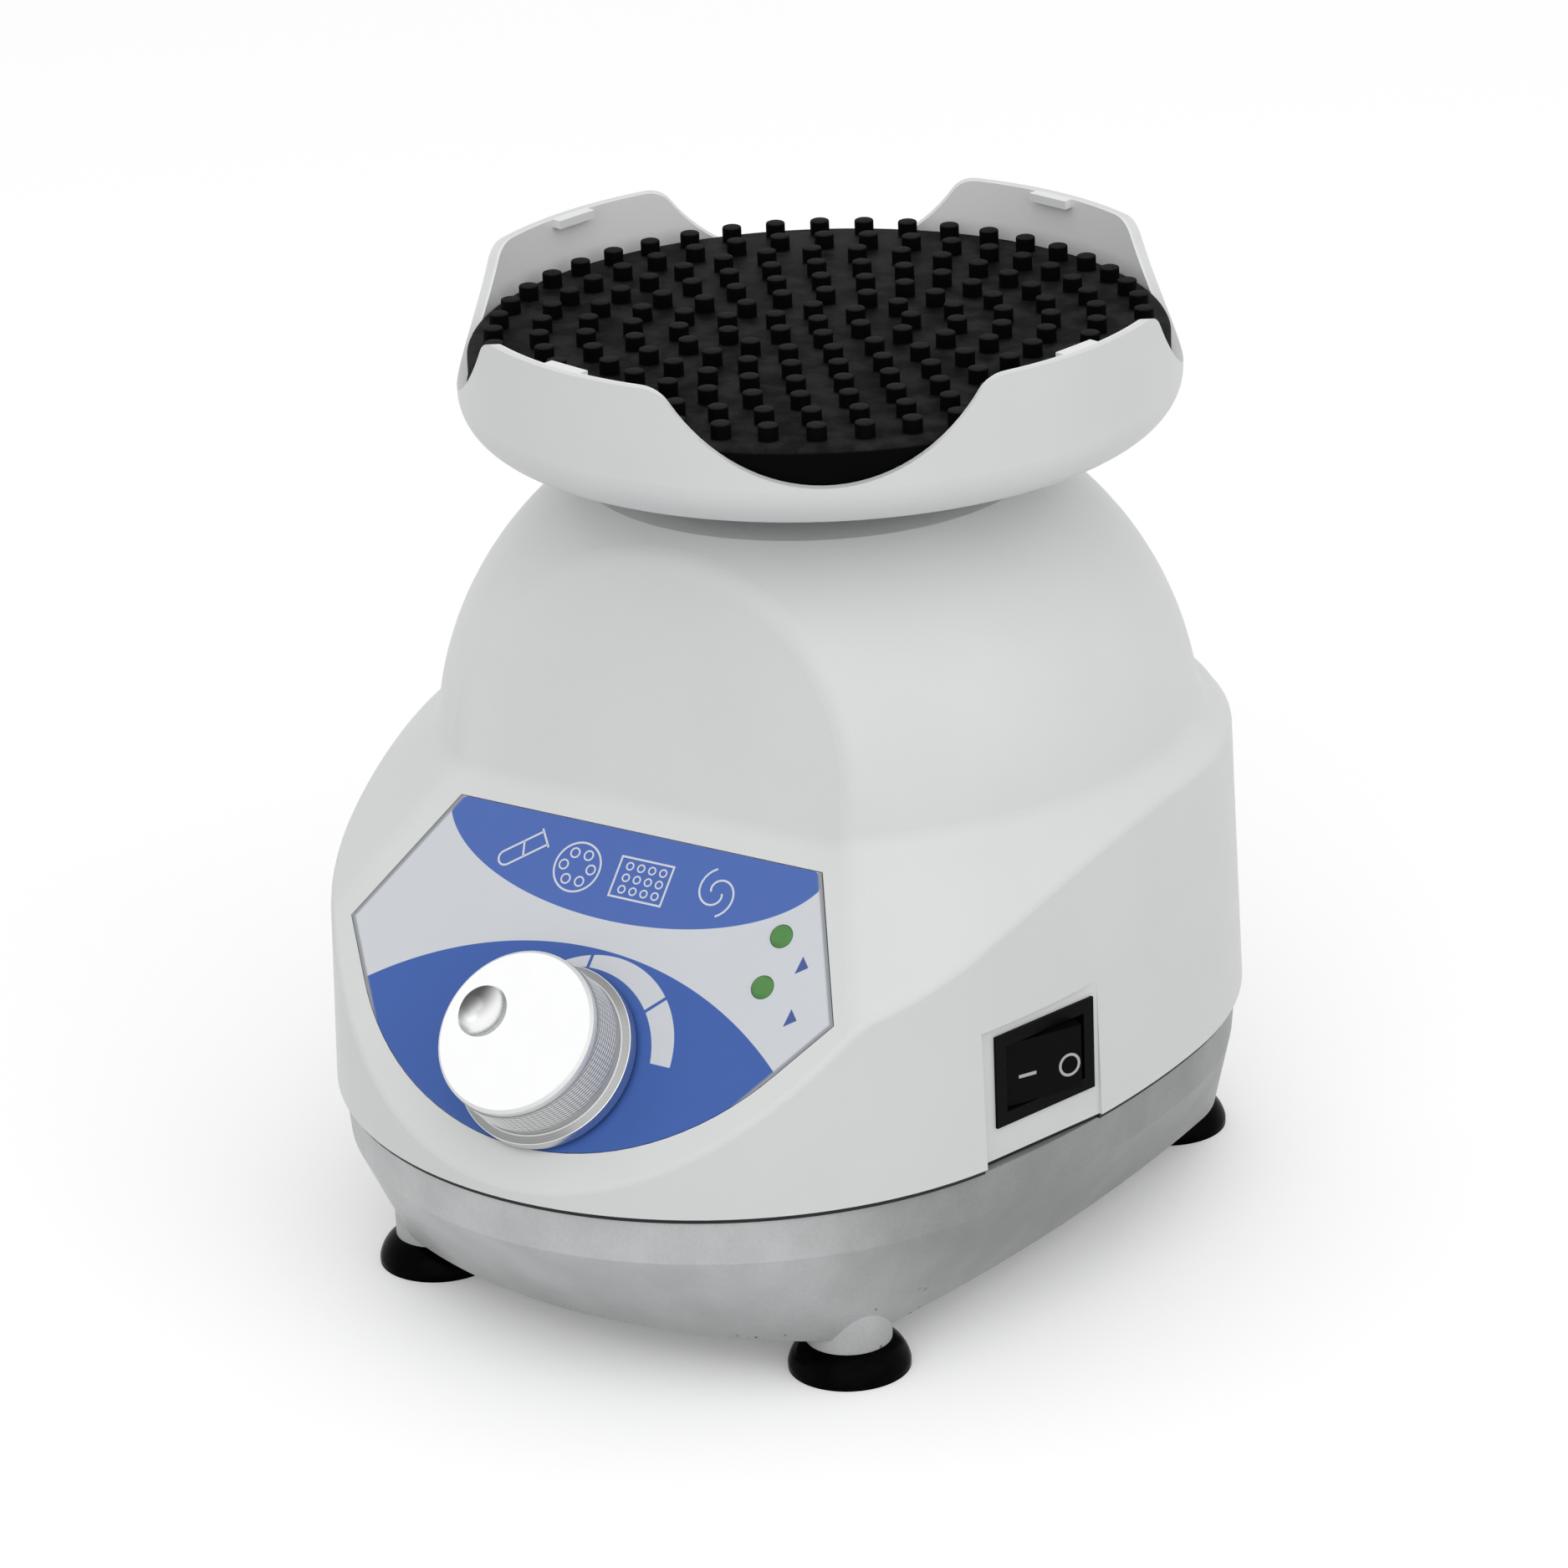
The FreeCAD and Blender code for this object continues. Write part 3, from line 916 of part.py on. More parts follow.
# Head: bearing, circlip, hub, cupped tray and rubber mat, which orbit without turning
def head():
    ball_top = "(ball_bottom + ball_thickness)"
    race = turned("ball_ring", [
        ("pin_radius + running_clearance", "ball_bottom"), ("ball_radius", "ball_bottom"),
        ("ball_radius", ball_top),
        ("pin_radius + running_clearance", ball_top)])
    node("head_bearing", on_head_axis(race))
    groove_low = "(ball_bottom - clip_thickness)"
    clip = turned("clip_ring", [
        ("ball_radius + clip_groove - clip_width", groove_low), ("ball_radius + clip_groove", groove_low),
        ("ball_radius + clip_groove", "ball_bottom"),
        ("ball_radius + clip_groove - clip_width", "ball_bottom")])
    node("bearing_circlip", on_head_axis(clip))
    hub = turned("hub_turned", [
        ("ball_radius", "hub_bottom"), ("hub_radius", "hub_bottom"), ("hub_radius", "tray_bottom"),
        ("0", "tray_bottom"),
        ("0", "hub_core_top"), ("hub_core", "hub_core_top"), ("hub_core", ball_top),
        ("ball_radius", ball_top),
        ("ball_radius", "ball_bottom"), ("ball_radius + clip_groove", "ball_bottom"),
        ("ball_radius + clip_groove", groove_low), ("ball_radius", groove_low)])
    screws, hub_taps, tray_holes = [], [], []
    floor = "(tray_bottom + tray_wall)"
    for number in range(4):
        x, y = f"tray_screw_circle * cos({90 * number})", f"tray_screw_circle * sin({90 * number})"
        hub_taps.append(cylinder(f"hub_tap_{number}", "tray_screw_radius", "tray_screw_foot",
                                 "tray_bottom + 1", x, y))
        tray_holes.append(cylinder(f"tray_hole_{number}", "tray_screw_radius", "tray_bottom - 1",
                                   f"{floor} + 1", x, y))
        screw = turned(f"tray_screw_{number}", [
            ("0", "tray_screw_foot"), ("tray_screw_radius", "tray_screw_foot"), ("tray_screw_radius", floor),
            ("tray_head_radius", floor), ("tray_head_radius", f"{floor} + tray_head"),
            ("0", f"{floor} + tray_head")])
        screws.append(move(screw, x, y))
    node("head_hub", on_head_axis(carried("hub_placed", cut("hub", hub, hub_taps)), "tray_turn"))
    node("tray_screws", on_head_axis(group("tray_screw_set", screws), "tray_turn"))
    tray(tray_holes)
    mat()


def bowl_corner_height(inset):
    """Height at which the bowl's corner arc turns into the upright wall."""
    return (f"(tray_bottom + bowl_arc - sqrt((bowl_arc - bowl_corner)^2"
            f" - (tray_radius - bowl_corner - bowl_flat)^2) + {inset} * 0)")


def bowl_profile(name, inset, top):
    """The bowl's outside, or its inside with an inset: flat middle, long arc, corner arc, upright wall."""
    corner_r = "(tray_radius - bowl_corner)"
    share = f"((bowl_arc - {inset}) / (bowl_arc - bowl_corner))"
    arc_z = "(tray_bottom + bowl_arc)"
    corner_z = bowl_corner_height(inset)
    meet_r = f"(bowl_flat + ({corner_r} - bowl_flat) * {share})"
    meet_z = f"({arc_z} - ({arc_z} - {corner_z}) * {share})"
    wall_r = f"(tray_radius - {inset})"
    return turned(name, [
        ("0", f"tray_bottom + {inset}"), ("bowl_flat", f"tray_bottom + {inset}"), (meet_r, meet_z),
        (wall_r, corner_z),
        (wall_r, top), ("0", top)], {1: f"bowl_arc - {inset}", 2: f"bowl_corner - {inset}"})


def tray(screw_holes):
    outside = bowl_profile("bowl_outside", "0", "tray_top")
    inside = bowl_profile("bowl_inside", "tray_wall", "(tray_top + 1)")
    valley_z = "(valley_bottom + valley_radius)"
    crest_z = "(tray_top - crest_radius)"
    crest_y = f"sqrt((valley_radius + crest_radius)^2 - ({valley_z} - {crest_z})^2)"
    share = "(valley_radius / (valley_radius + crest_radius))"
    lip_y, lip_z = f"{crest_y} * {share}", f"({valley_z} - ({valley_z} - {crest_z}) * {share})"
    notches = []
    for number, turn in enumerate((45, 135)):
        profile = outline(f"valley_profile_{number}", [
            (f"-{crest_y}", "tray_top"), (f"-{lip_y}", lip_z), (lip_y, lip_z), (crest_y, "tray_top"),
            (crest_y, "tray_top + 2"), (f"-{crest_y}", "tray_top + 2")],
            {0: "-crest_radius", 1: "valley_radius", 2: "-crest_radius"})
        profile.Placement = Placement(Vector(),
                                      Rotation(Vector(0, 0, 1), turn) * Rotation(Vector(1, 0, 0), 90))
        along = Rotation(Vector(0, 0, 1), turn).multVec(Vector(0, 1, 0))
        notches.append(extruded(f"valley_{number}", profile, "4 * tray_radius", along, True))
    wall = cut("tray_wall_cut", outside, [inside] + notches)
    tabs, ribs = [], []
    tab_out, tab_in = "(tray_radius - tray_wall / 2)", "(tray_radius - tray_wall - tab_depth)"
    for number in range(4):
        tab = box(f"tab_{number}", (tab_in, tab_out), ("-tab_width / 2", "tab_width / 2"),
                  ("tray_top - tab_height", "tray_top"))
        tabs.append(move(carried(f"tab_turned_{number}", tab), 0, 0, 0, str(90 * number)))
    mat_foot = "(mat_top - mat_thickness)"
    for number in range(int(value("rib_count"))):
        rib = box(f"rib_{number}", ("rib_inner", "rib_outer"), ("-rib_thickness / 2", "rib_thickness / 2"),
                  ("tray_bottom", mat_foot))
        ribs.append(move(carried(f"rib_turned_{number}", rib), 0, 0, 0, f"{number} * 360 / rib_count"))
    inner_ribs = common("ribs_trimmed", [fuse("ribs", ribs), outside])
    solid = fuse("tray_solids", [wall, inner_ribs] + tabs)
    node("tray", on_head_axis(cut("tray_cut", solid, screw_holes), "tray_turn"))


def mat():
    """Rubber disc with flat-topped nubs on concentric rings, evenly spaced along each ring."""
    disc = cylinder("mat_disc", "tray_radius - tray_wall - mat_gap", "mat_top - mat_thickness", "mat_top")
    radius, height, pitch = value("nub_radius"), value("nub_height"), value("nub_pitch")
    foot, sides = value("mat_top"), 6
    nubs = []
    for ring in range(int(value("nub_rings")) + 1):
        count = max(1, round(2 * math.pi * ring))
        for place in range(count):
            turn = 2 * math.pi * (place + ring / 3) / count
            spot = Vector(ring * pitch * math.cos(turn), ring * pitch * math.sin(turn), foot)
            turns = [turn + side * math.tau / sides for side in range(sides)]
            rim = [spot + Vector(radius * math.cos(way), radius * math.sin(way), 0) for way in turns]
            nubs.append(Part.Face(Part.makePolygon(rim + rim[:1])).extrude(Vector(0, 0, height)))
    studs = doc.addObject("Part::Feature", "mat_nubs")
    studs.Shape = Part.makeCompound(nubs)
    node("rubber_mat", on_head_axis(fuse("mat", [disc, studs]), "tray_turn"))


def neck_seal():
    low = "(dome_top - wall - 1)"
    ring = turned("seal_ring", [
        ("seal_bore", low), ("neck_radius - seal_gap", low), ("neck_radius - seal_gap", "dome_top"),
        ("seal_flange", "dome_top"),
        ("seal_flange", "dome_top + seal_lip"), ("seal_bore", "dome_top + seal_lip")])
    node("neck_seal", on_motor_axis(ring))


base_casting()
feet()
seam_gasket()
upper_housing()
housing_screws()
control_panel()
speed_knob()
rocker_switch()
power_inlet()
touch_mechanism()
motor_carriage()
rotor()
head()
neck_seal()
doc.recompute()

for item in doc.Objects:
    if {"Invalid", "Error"} & set(item.State):
        raise RuntimeError(f"{item.Name} did not build: {item.State}")
for item in PARTS:
    if item.Shape.isNull() or not item.Shape.isValid() or not item.Shape.Solids:
        raise RuntimeError(f"{item.Label} has no sound solid")

os.makedirs("parts", exist_ok=True)
for item in PARTS:
    item.Shape.exportStep(f"parts/{item.Label}.step")
    print(f"{item.Label}: {len(item.Shape.Solids)} solid(s), {item.Shape.Volume / 1000:.2f} cm3")
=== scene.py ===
"""Looks of a bench vortex mixer: finishes for its solids, mat, springs, prints, knurl, light and camera."""

import math

import bmesh
import bpy
from mathutils import Matrix, Vector


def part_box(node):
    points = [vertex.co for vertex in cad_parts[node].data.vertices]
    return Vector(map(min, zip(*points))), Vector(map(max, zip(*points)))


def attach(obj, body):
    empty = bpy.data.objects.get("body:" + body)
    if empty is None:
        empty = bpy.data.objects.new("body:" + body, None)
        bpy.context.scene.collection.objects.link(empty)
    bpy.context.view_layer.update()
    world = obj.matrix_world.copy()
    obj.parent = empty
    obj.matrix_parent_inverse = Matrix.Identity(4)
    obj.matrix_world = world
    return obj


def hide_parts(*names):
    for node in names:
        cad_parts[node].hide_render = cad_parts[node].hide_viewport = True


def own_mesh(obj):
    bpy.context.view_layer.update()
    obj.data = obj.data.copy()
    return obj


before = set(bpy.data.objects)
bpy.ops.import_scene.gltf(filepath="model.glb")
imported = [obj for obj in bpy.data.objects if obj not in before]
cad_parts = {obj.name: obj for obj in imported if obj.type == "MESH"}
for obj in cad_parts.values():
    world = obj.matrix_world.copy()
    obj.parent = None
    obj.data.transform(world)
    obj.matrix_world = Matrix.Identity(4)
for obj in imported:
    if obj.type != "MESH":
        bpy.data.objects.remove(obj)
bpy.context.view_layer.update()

MM = 0.001

# Sloped control panel: the middle of its top edge, and its tilt from level
PANEL_TOP = Vector((0, -39.2, 81.8)) * MM
PANEL_TILT = math.radians(47.2)
PANEL_DOWN = Vector((0, -math.cos(PANEL_TILT), -math.sin(PANEL_TILT)))
PANEL_OUT = Vector((0, -math.sin(PANEL_TILT), math.cos(PANEL_TILT)))
KNOB_DROP = 39.3
KNOB_RADIUS = 13.6

# Thickness of printed ink, and the height of the nubs on the mat's solid
INK = 0.05
SOLID_NUB = 2.4

# Edges that turn more than this stay sharp
SHARP_ANGLE = math.radians(50)

# Switch rocker: the middle of its face at rest, and the way the face looks
ROCKER_FACE = Vector((63.984, -22.522, 48.3))
ROCKER_OUT = Vector((math.cos(math.radians(-27.5)), math.sin(math.radians(-27.5)), 0))

# Camera at the photograph's viewing angle
PHOTO_SIZE = 1875
FOCAL_PIXELS = 7826
SENSOR = 36
CAMERA_PLACE = Vector((550.1, -826.7, 481.6)) * MM
CAMERA_AZIMUTH, CAMERA_ELEVATION, CAMERA_ROLL = (math.radians(a) for a in (33.54, 22.22, -2.24))


class Value:
    """One output of a shader node. Arithmetic on it adds Math nodes to the same tree."""

    def __init__(self, tree, socket):
        self.tree = tree
        self.socket = socket

    def math(self, operation, *others, first=None):
        operands = [self, *others] if first is None else [first, self]
        return self.tree.add("ShaderNodeMath", {"operation": operation}, dict(enumerate(operands)))

    def __add__(self, other):
        return self.math("ADD", other)

    def __sub__(self, other):
        return self.math("SUBTRACT", other)

    def __rsub__(self, other):
        return self.math("SUBTRACT", first=other)

    def __mul__(self, other):
        return self.math("MULTIPLY", other)

    def __truediv__(self, other):
        return self.math("DIVIDE", other)

    __radd__ = __add__
    __rmul__ = __mul__

    def root(self):
        return self.math("SQRT")

    def size(self):
        return self.math("ABSOLUTE")

    def most(self, other):
        return self.math("MAXIMUM", other)

    def ease(self, low, high):
        """0 below low and 1 above high, easing between them."""
        return self.tree.add("ShaderNodeMapRange", {"interpolation_type": "SMOOTHSTEP"},
                             {"Value": self, "From Min": low, "From Max": high})

    def band(self, low, high, soft):
        """1 between low and high, easing to 0 outside them."""
        return self.ease(low - soft, low + soft) * (1 - self.ease(high - soft, high + soft))


class Nodes:
    """A node tree that is being put together."""

    def __init__(self, tree):
        self.nodes, self.links = tree.nodes, tree.links

    def feed(self, socket, value):
        if isinstance(value, Value):
            self.links.new(value.socket, socket)
        else:
            socket.default_value = value

    def add(self, kind, settings, inputs, output=0):
        """A node of a kind, with its settings made before its sockets are filled."""
        node = self.nodes.new(kind)
        for name, value in settings.items():
            setattr(node, name, value)
        for label, value in inputs.items():
            self.feed(node.inputs[label], value)
        return Value(self, node.outputs[output])

    def shown(self):
        """1 where this is seen directly, mirrored or through a clear piece, and 0 where it only lights."""
        rays = [self.add("ShaderNodeLightPath", {}, {}, f"Is {kind} Ray")
                for kind in ("Camera", "Glossy", "Transmission")]
        return rays[0].most(rays[1]).most(rays[2])


class Finish(Nodes):
    """A procedural material on one shader."""

    def __init__(self, name, **sockets):
        self.material = bpy.data.materials.new(name)
        self.material.use_nodes = True
        super().__init__(self.material.node_tree)
        self.shader = self.nodes["Principled BSDF"]
        for label, value in sockets.items():
            self.put(label.replace("_", " ").title().replace("Ior", "IOR"), value)

    def put(self, label, value):
        self.feed(self.shader.inputs[label], value)
        return self

    def place(self):
        return self.add("ShaderNodeTexCoord", {}, {}, "Object")

    def axes(self):
        """The place on the piece as three values, in millimetres."""
        place = self.place()
        return [self.add("ShaderNodeSeparateXYZ", {}, {0: place}, axis) / MM for axis in range(3)]

    def noise(self, grain, detail=2, roughness=0.5):
        """Cloudy noise from 0 to 1, with lumps of about grain millimetres."""
        return self.add("ShaderNodeTexNoise", {"noise_dimensions": "3D"},
                        {"Vector": self.place(), "Scale": 1 / (grain * MM), "Detail": detail,
                         "Roughness": roughness})

    def cells(self, grain):
        """Distance from the middle of the nearest of scattered cells, in cells."""
        return self.add("ShaderNodeTexVoronoi", {"feature": "F1"},
                        {"Vector": self.place(), "Scale": 1 / (grain * MM)})

    def mix(self, share, low, high):
        """A colour between two others."""
        pick = {"data_type": "RGBA", "blend_type": "MIX"}
        ends = [end if isinstance(end, Value) else (*end, 1) for end in (low, high)]
        return self.add("ShaderNodeMix", pick, {0: share, 6: ends[0], 7: ends[1]}, 2)

    def bump(self, height, depth):
        """Relief of depth millimetres at a height of 1."""
        return self.add("ShaderNodeBump", {}, {"Distance": depth * MM, "Height": height})


def shades(tone, dark, pale):
    """A tone made darker and paler."""
    return [[channel * share for channel in tone] for share in (dark, pale)]


# Finishes
def clouded(finish, tone):
    return finish.mix(finish.noise(26, 3).ease(0.3, 0.7), *shades(tone, 0.985, 1.012))


def satin(finish, colour):
    """Satin plastic of a colour: fine orange peel and uneven gloss."""
    finish.put("Base Color", colour)
    finish.put("Roughness", 0.34 + 0.12 * finish.noise(7, 4))
    return finish.put("Normal", finish.bump(finish.noise(1.3), 0.015)).material


def moulded_white():
    finish = Finish("moulded_white", specular_ior_level=0.4)
    return satin(finish, clouded(finish, (0.715, 0.728, 0.724)))


def tray_white():
    """The tray's white plastic, with the inside of the petals painted paler as painted light that stands in
    for light reaching them.
    """
    finish = Finish("tray_white", specular_ior_level=0.4)
    x, y, z = finish.axes()
    low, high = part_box("rubber_mat")
    middle, mat_level, inner_wall = (low + high) / 2 / MM, high.z / MM - SOLID_NUB, 57.1
    reach = ((x - middle.x) * (x - middle.x) + (y - middle.y) * (y - middle.y)).root()
    # painted light: the petals' inner faces above the mat get a paler tone
    inner_light_mask = (1 - reach.ease(inner_wall + 0.1, inner_wall + 0.6)) * z.ease(mat_level - 1, mat_level)
    outside, inside = clouded(finish, (0.72, 0.733, 0.728)), clouded(finish, (0.83, 0.84, 0.834))
    return satin(finish, finish.mix(inner_light_mask, outside, inside))


def silver_paint():
    """Silver paint on a casting: fine grain, cloudy tone, dark chips on one boss, and painted shade that
    darkens the flanks and the lower part.
    """
    finish = Finish("silver_paint", specular_ior_level=0.5)
    x, y, z = finish.axes()
    grain, clouds = finish.noise(0.5, 3, 0.6), finish.noise(11, 4, 0.55)
    shade = (0.35 * grain + 0.65 * clouds).ease(0.3, 0.72)
    front = finish.mix(shade, (0.48, 0.492, 0.498), (0.585, 0.598, 0.604))
    # painted shade: this darker tone is mixed in on the flanks and, partly, low down on the casting
    shaded_flank_tone = finish.mix(shade, (0.25, 0.256, 0.256), (0.32, 0.328, 0.328))
    paint = finish.mix(x.size().ease(38, 60).most(0.4 - 0.4 * z.ease(6, 20)), front, shaded_flank_tone)
    chips = (1 - finish.cells(2.2)).ease(0.8, 0.87) * finish.noise(7).ease(0.5, 0.58)
    worn = chips * (1 - z.ease(12, 15)) * x.ease(22, 26) * (1 - y.ease(-40, -34))
    finish.put("Base Color", finish.mix(worn, paint, (0.05, 0.05, 0.052)))
    finish.put("Metallic", 0.2 - 0.18 * worn)
    finish.put("Roughness", 0.36 + 0.14 * grain)
    return finish.put("Normal", finish.bump(0.7 * grain + 0.3 * finish.noise(2.2, 3), 0.035)).material


def rubber(name, tone, gloss, sheen, grain):
    finish = Finish(name, specular_ior_level=sheen)
    dust = finish.noise(5, 4, 0.65).ease(0.45, 0.75)
    dusty = [min(0.0008 + 1.5 * channel, 1.06 * channel + 0.003) for channel in tone]
    finish.put("Base Color", finish.mix(dust, tone, dusty))
    finish.put("Roughness", gloss + 0.12 * dust)
    return finish.put("Normal", finish.bump(finish.noise(grain, 3), 0.02)).material


def mat_rubber(plate_top, nub_top):
    """Matte black rubber: the plate painted paler in clouds as painted sheen, the nub sides and the plate's
    rim wall painted darker as painted shade, and the nub tops painted paler as painted highlight.
    """
    finish = Finish("mat_rubber", specular_ior_level=0.035)
    z = finish.axes()[2]
    clouds = finish.noise(6, 4, 0.6)
    # painted highlight: the nub tops are paler, in patches
    top_highlight = z.ease(nub_top - 0.3, nub_top - 0.05) * (0.55 + 0.45 * finish.noise(1.8, 3))
    # painted shade: the plate's rim wall and the nub sides are darker
    shaded = (1 - z.ease(plate_top - 0.8, plate_top - 0.3)).most(z.band(plate_top + 0.25, nub_top - 0.1, 0.2))
    # painted sheen: the plate's tone is paler in clouds
    plain = finish.mix(clouds.ease(0.35, 0.7), (0.007, 0.007, 0.0072), (0.026, 0.026, 0.0265))
    plain = finish.mix(shaded, plain, (0.0011, 0.001, 0.001))
    finish.put("Base Color", finish.mix(top_highlight, plain, (0.017, 0.017, 0.0175)))
    finish.put("Roughness", 0.62 + 0.2 * clouds)
    return finish.put("Normal", finish.bump(finish.noise(0.5), 0.03)).material


def printed_film():
    """Pale film with painted shadow as a grey band along the edges of its sides, two blue fields and a dial
    segment that widens clockwise.
    """
    finish = Finish("printed_film", specular_ior_level=0.3)
    x, y, z = finish.axes()
    down = (y - PANEL_TOP.y / MM) * PANEL_DOWN.y + (z - PANEL_TOP.z / MM) * PANEL_DOWN.z
    crisp = 0.06

    def inside(across, drop, radius):
        reach = ((x - across) * (x - across) + (down - drop) * (down - drop)).root()
        return 1 - reach.ease(radius - crisp, radius + crisp)

    def line(start, end, half_width):
        along = (Vector(end) - Vector(start)).normalized()
        off = ((x - start[0]) * along.y - (down - start[1]) * along.x).size()
        return 1 - off.ease(half_width - crisp, half_width + crisp)

    def lens():
        """The upper field: an oval, cut straight along the top with rounded corners."""
        half_wide, half_deep, lift, mean_reach = 36.5, 16.6, 1.5, 24
        corner_across, corner_drop, corner_radius = 32.7, 2.3, 2.4
        wide, deep = x / half_wide, (down + lift) / half_deep
        oval = 1 - (wide * wide + deep * deep).root().ease(1 - crisp / mean_reach, 1 + crisp / mean_reach)
        past_side, past_top = (x.size() - corner_across).most(0), (corner_drop - down).most(0)
        corner = (past_side * past_side + past_top * past_top).root()
        return oval * (1 - corner.ease(corner_radius - crisp, corner_radius + crisp))

    def past(start, end):
        """Distance past a straight edge of the film, the same on both sides."""
        along = (Vector(end) - Vector(start)).normalized()
        return along.y * (x.size() - start[0]) - along.x * (down - start[1])

    upper, lower = lens(), inside(0, 84.76, 64.8)
    segment = inside(4.06, 37.5, 16.85) * (1 - inside(1.23, 39.5, 16.3))
    segment_foot, tick = 36.1, 0.28
    segment = segment * (1 - down.ease(segment_foot - crisp, segment_foot + crisp)) * x.ease(-9, -8.9)
    first = line((0, 23.1), (0.1, 20.2), tick) * (1 - down.ease(26, 27))
    second = line((13.1, 28), (15.75, 25.3), tick) * x.ease(8, 9)
    segment = segment * (1 - first.most(second))
    clouds = finish.noise(14, 3)
    upper_ink = finish.mix(clouds, *shades((0.076, 0.15, 0.466), 0.96, 1.04))
    lower_ink = finish.mix(clouds, *shades((0.05, 0.122, 0.415), 0.96, 1.04))
    paper = finish.mix(finish.noise(18, 3), *shades((0.645, 0.674, 0.712), 0.98, 1.02))
    printed = finish.mix(lower * (1 - segment), finish.mix(upper, paper, upper_ink), lower_ink)
    top_corner, side_corner, low_corner = (34.4, 0), (46, 23.6), (39.2, 33.3)
    # painted shadow: the film is grey just inside the edges of its sides, where the gap round it is in shade
    edge_shadow = past(top_corner, side_corner).most(past(side_corner, low_corner)).ease(-0.85, -0.3)
    finish.put("Base Color", finish.mix(edge_shadow, printed, (0.31, 0.325, 0.345)))
    finish.put("Roughness", 0.42 + 0.1 * finish.noise(3, 3))
    return finish.put("Normal", finish.bump(finish.noise(0.4), 0.008)).material


def ink(name, tone):
    finish = Finish(name, roughness=0.5, specular_ior_level=0.3)
    return finish.put("Base Color", finish.mix(finish.noise(0.8, 3), *shades(tone, 0.93, 1.04))).material


def lamp_green():
    """Clear green lens, even in tone."""
    finish = Finish("lamp_green", specular_ior_level=0.3)
    finish.put("Base Color", finish.mix(finish.noise(1.2, 3), (0.074, 0.234, 0.055), (0.1, 0.278, 0.08)))
    return finish.put("Roughness", 0.4 + 0.15 * finish.noise(0.8)).material


def turned_aluminium():
    """Turned metal: a bright faced end; the side and the flange toned darker as painted reflection; knurl
    valleys painted dark as painted shade and crests pale as painted highlight; painted highlights on the
    flange's inner edge and rim; the finger hollow painted dark on one side as painted reflection.
    """
    finish = Finish("turned_aluminium")
    x, y, z = finish.axes()
    axis = panel_point(0, KNOB_DROP) / MM
    rise = (y - axis.y) * PANEL_OUT.y + (z - axis.z) * PANEL_OUT.z
    slope = (y - axis.y) * PANEL_DOWN.y + (z - axis.z) * PANEL_DOWN.z
    reach = (x * x + slope * slope).root()
    rings = finish.add("ShaderNodeTexNoise", {"noise_dimensions": "1D"},
                       {"W": reach + 0.8 * rise, "Scale": 5, "Detail": 3})
    smudge = finish.noise(4, 3)
    face_edge, face_rise, flange_top, flange_edge = 13.0, 13.0, 3.3, 15.0
    face = finish.mix(smudge, (0.96, 0.963, 0.967), (0.99, 0.993, 0.997))
    # painted reflection: the finger hollow is dark on its upper-left side
    hollow_painted_dark = finish.mix((0.83 * (x + 7.0) + 0.55 * (slope + 2.0)).ease(-3.6, 0.4), (0.085, 0.086, 0.087),
                        finish.mix(rings, (0.92, 0.923, 0.927), (0.97, 0.973, 0.977)))
    # painted reflection: the side is toned darker than the face; a paler band runs next to the face
    side = finish.mix(rings, (0.45, 0.452, 0.458), (0.54, 0.542, 0.548))
    side = finish.mix(rise.ease(10.8, 12.4), side, (0.76, 0.764, 0.768))
    # painted shade and highlight: knurl valleys dark, crests pale
    crest = reach.ease(KNOB_RADIUS + 0.03, KNOB_RADIUS + 0.18)
    ridged = finish.mix(crest, (0.1, 0.102, 0.106), (0.78, 0.784, 0.79))
    # painted reflection: the flange is toned dark grey, with painted highlights on its inner edge and rim
    flange = finish.mix(rings, (0.23, 0.235, 0.23), (0.35, 0.356, 0.35))
    edges = reach.band(KNOB_RADIUS - 0.1, KNOB_RADIUS + 0.2, 0.08)
    edges = edges.most(reach.ease(flange_edge, flange_edge + 0.08))
    flange = finish.mix(edges, flange, (0.72, 0.724, 0.728))
    beside, above_flange = reach.ease(face_edge, face_edge + 0.2), rise.ease(flange_top, flange_top + 0.2)
    rough_side = beside * above_flange
    end = finish.mix(1 - rise.ease(face_rise, face_rise + 0.15), face, hollow_painted_dark)
    tone = finish.mix(beside, end, side)
    tone = finish.mix(reach.ease(KNOB_RADIUS + 0.005, KNOB_RADIUS + 0.015), tone, ridged)
    finish.put("Base Color", finish.mix(1 - above_flange, tone, flange))
    finish.put("Metallic", 1 - 0.55 * rough_side)
    finish.put("Roughness", 0.16 + 0.12 * rings + 0.06 * smudge + 0.3 * rough_side)
    return finish.put("Normal", finish.bump(rings, 0.006)).material


def metal(name, tone, gloss):
    finish = Finish(name, metallic=1.0)
    brushed = finish.noise(0.6, 4, 0.6)
    finish.put("Base Color", finish.mix(finish.noise(4, 3), *shades(tone, 0.88, 1.04)))
    finish.put("Roughness", gloss + 0.16 * brushed)
    return finish.put("Normal", finish.bump(brushed, 0.01)).material


def plain_plastic(name, tone, gloss, sheen=0.4):
    finish = Finish(name, specular_ior_level=sheen)
    clouds = finish.noise(4, 4, 0.6)
    finish.put("Base Color", finish.mix(clouds, *shades(tone, 0.9, 1.1)))
    finish.put("Roughness", gloss + 0.12 * clouds)
    return finish.put("Normal", finish.bump(finish.noise(0.35), 0.02)).material


# Places on the panel, in millimetres across, down the slope and out of it
def panel_point(across, drop, rise=0):
    return PANEL_TOP + (Vector((across, 0, 0)) + PANEL_DOWN * drop + PANEL_OUT * rise) * MM


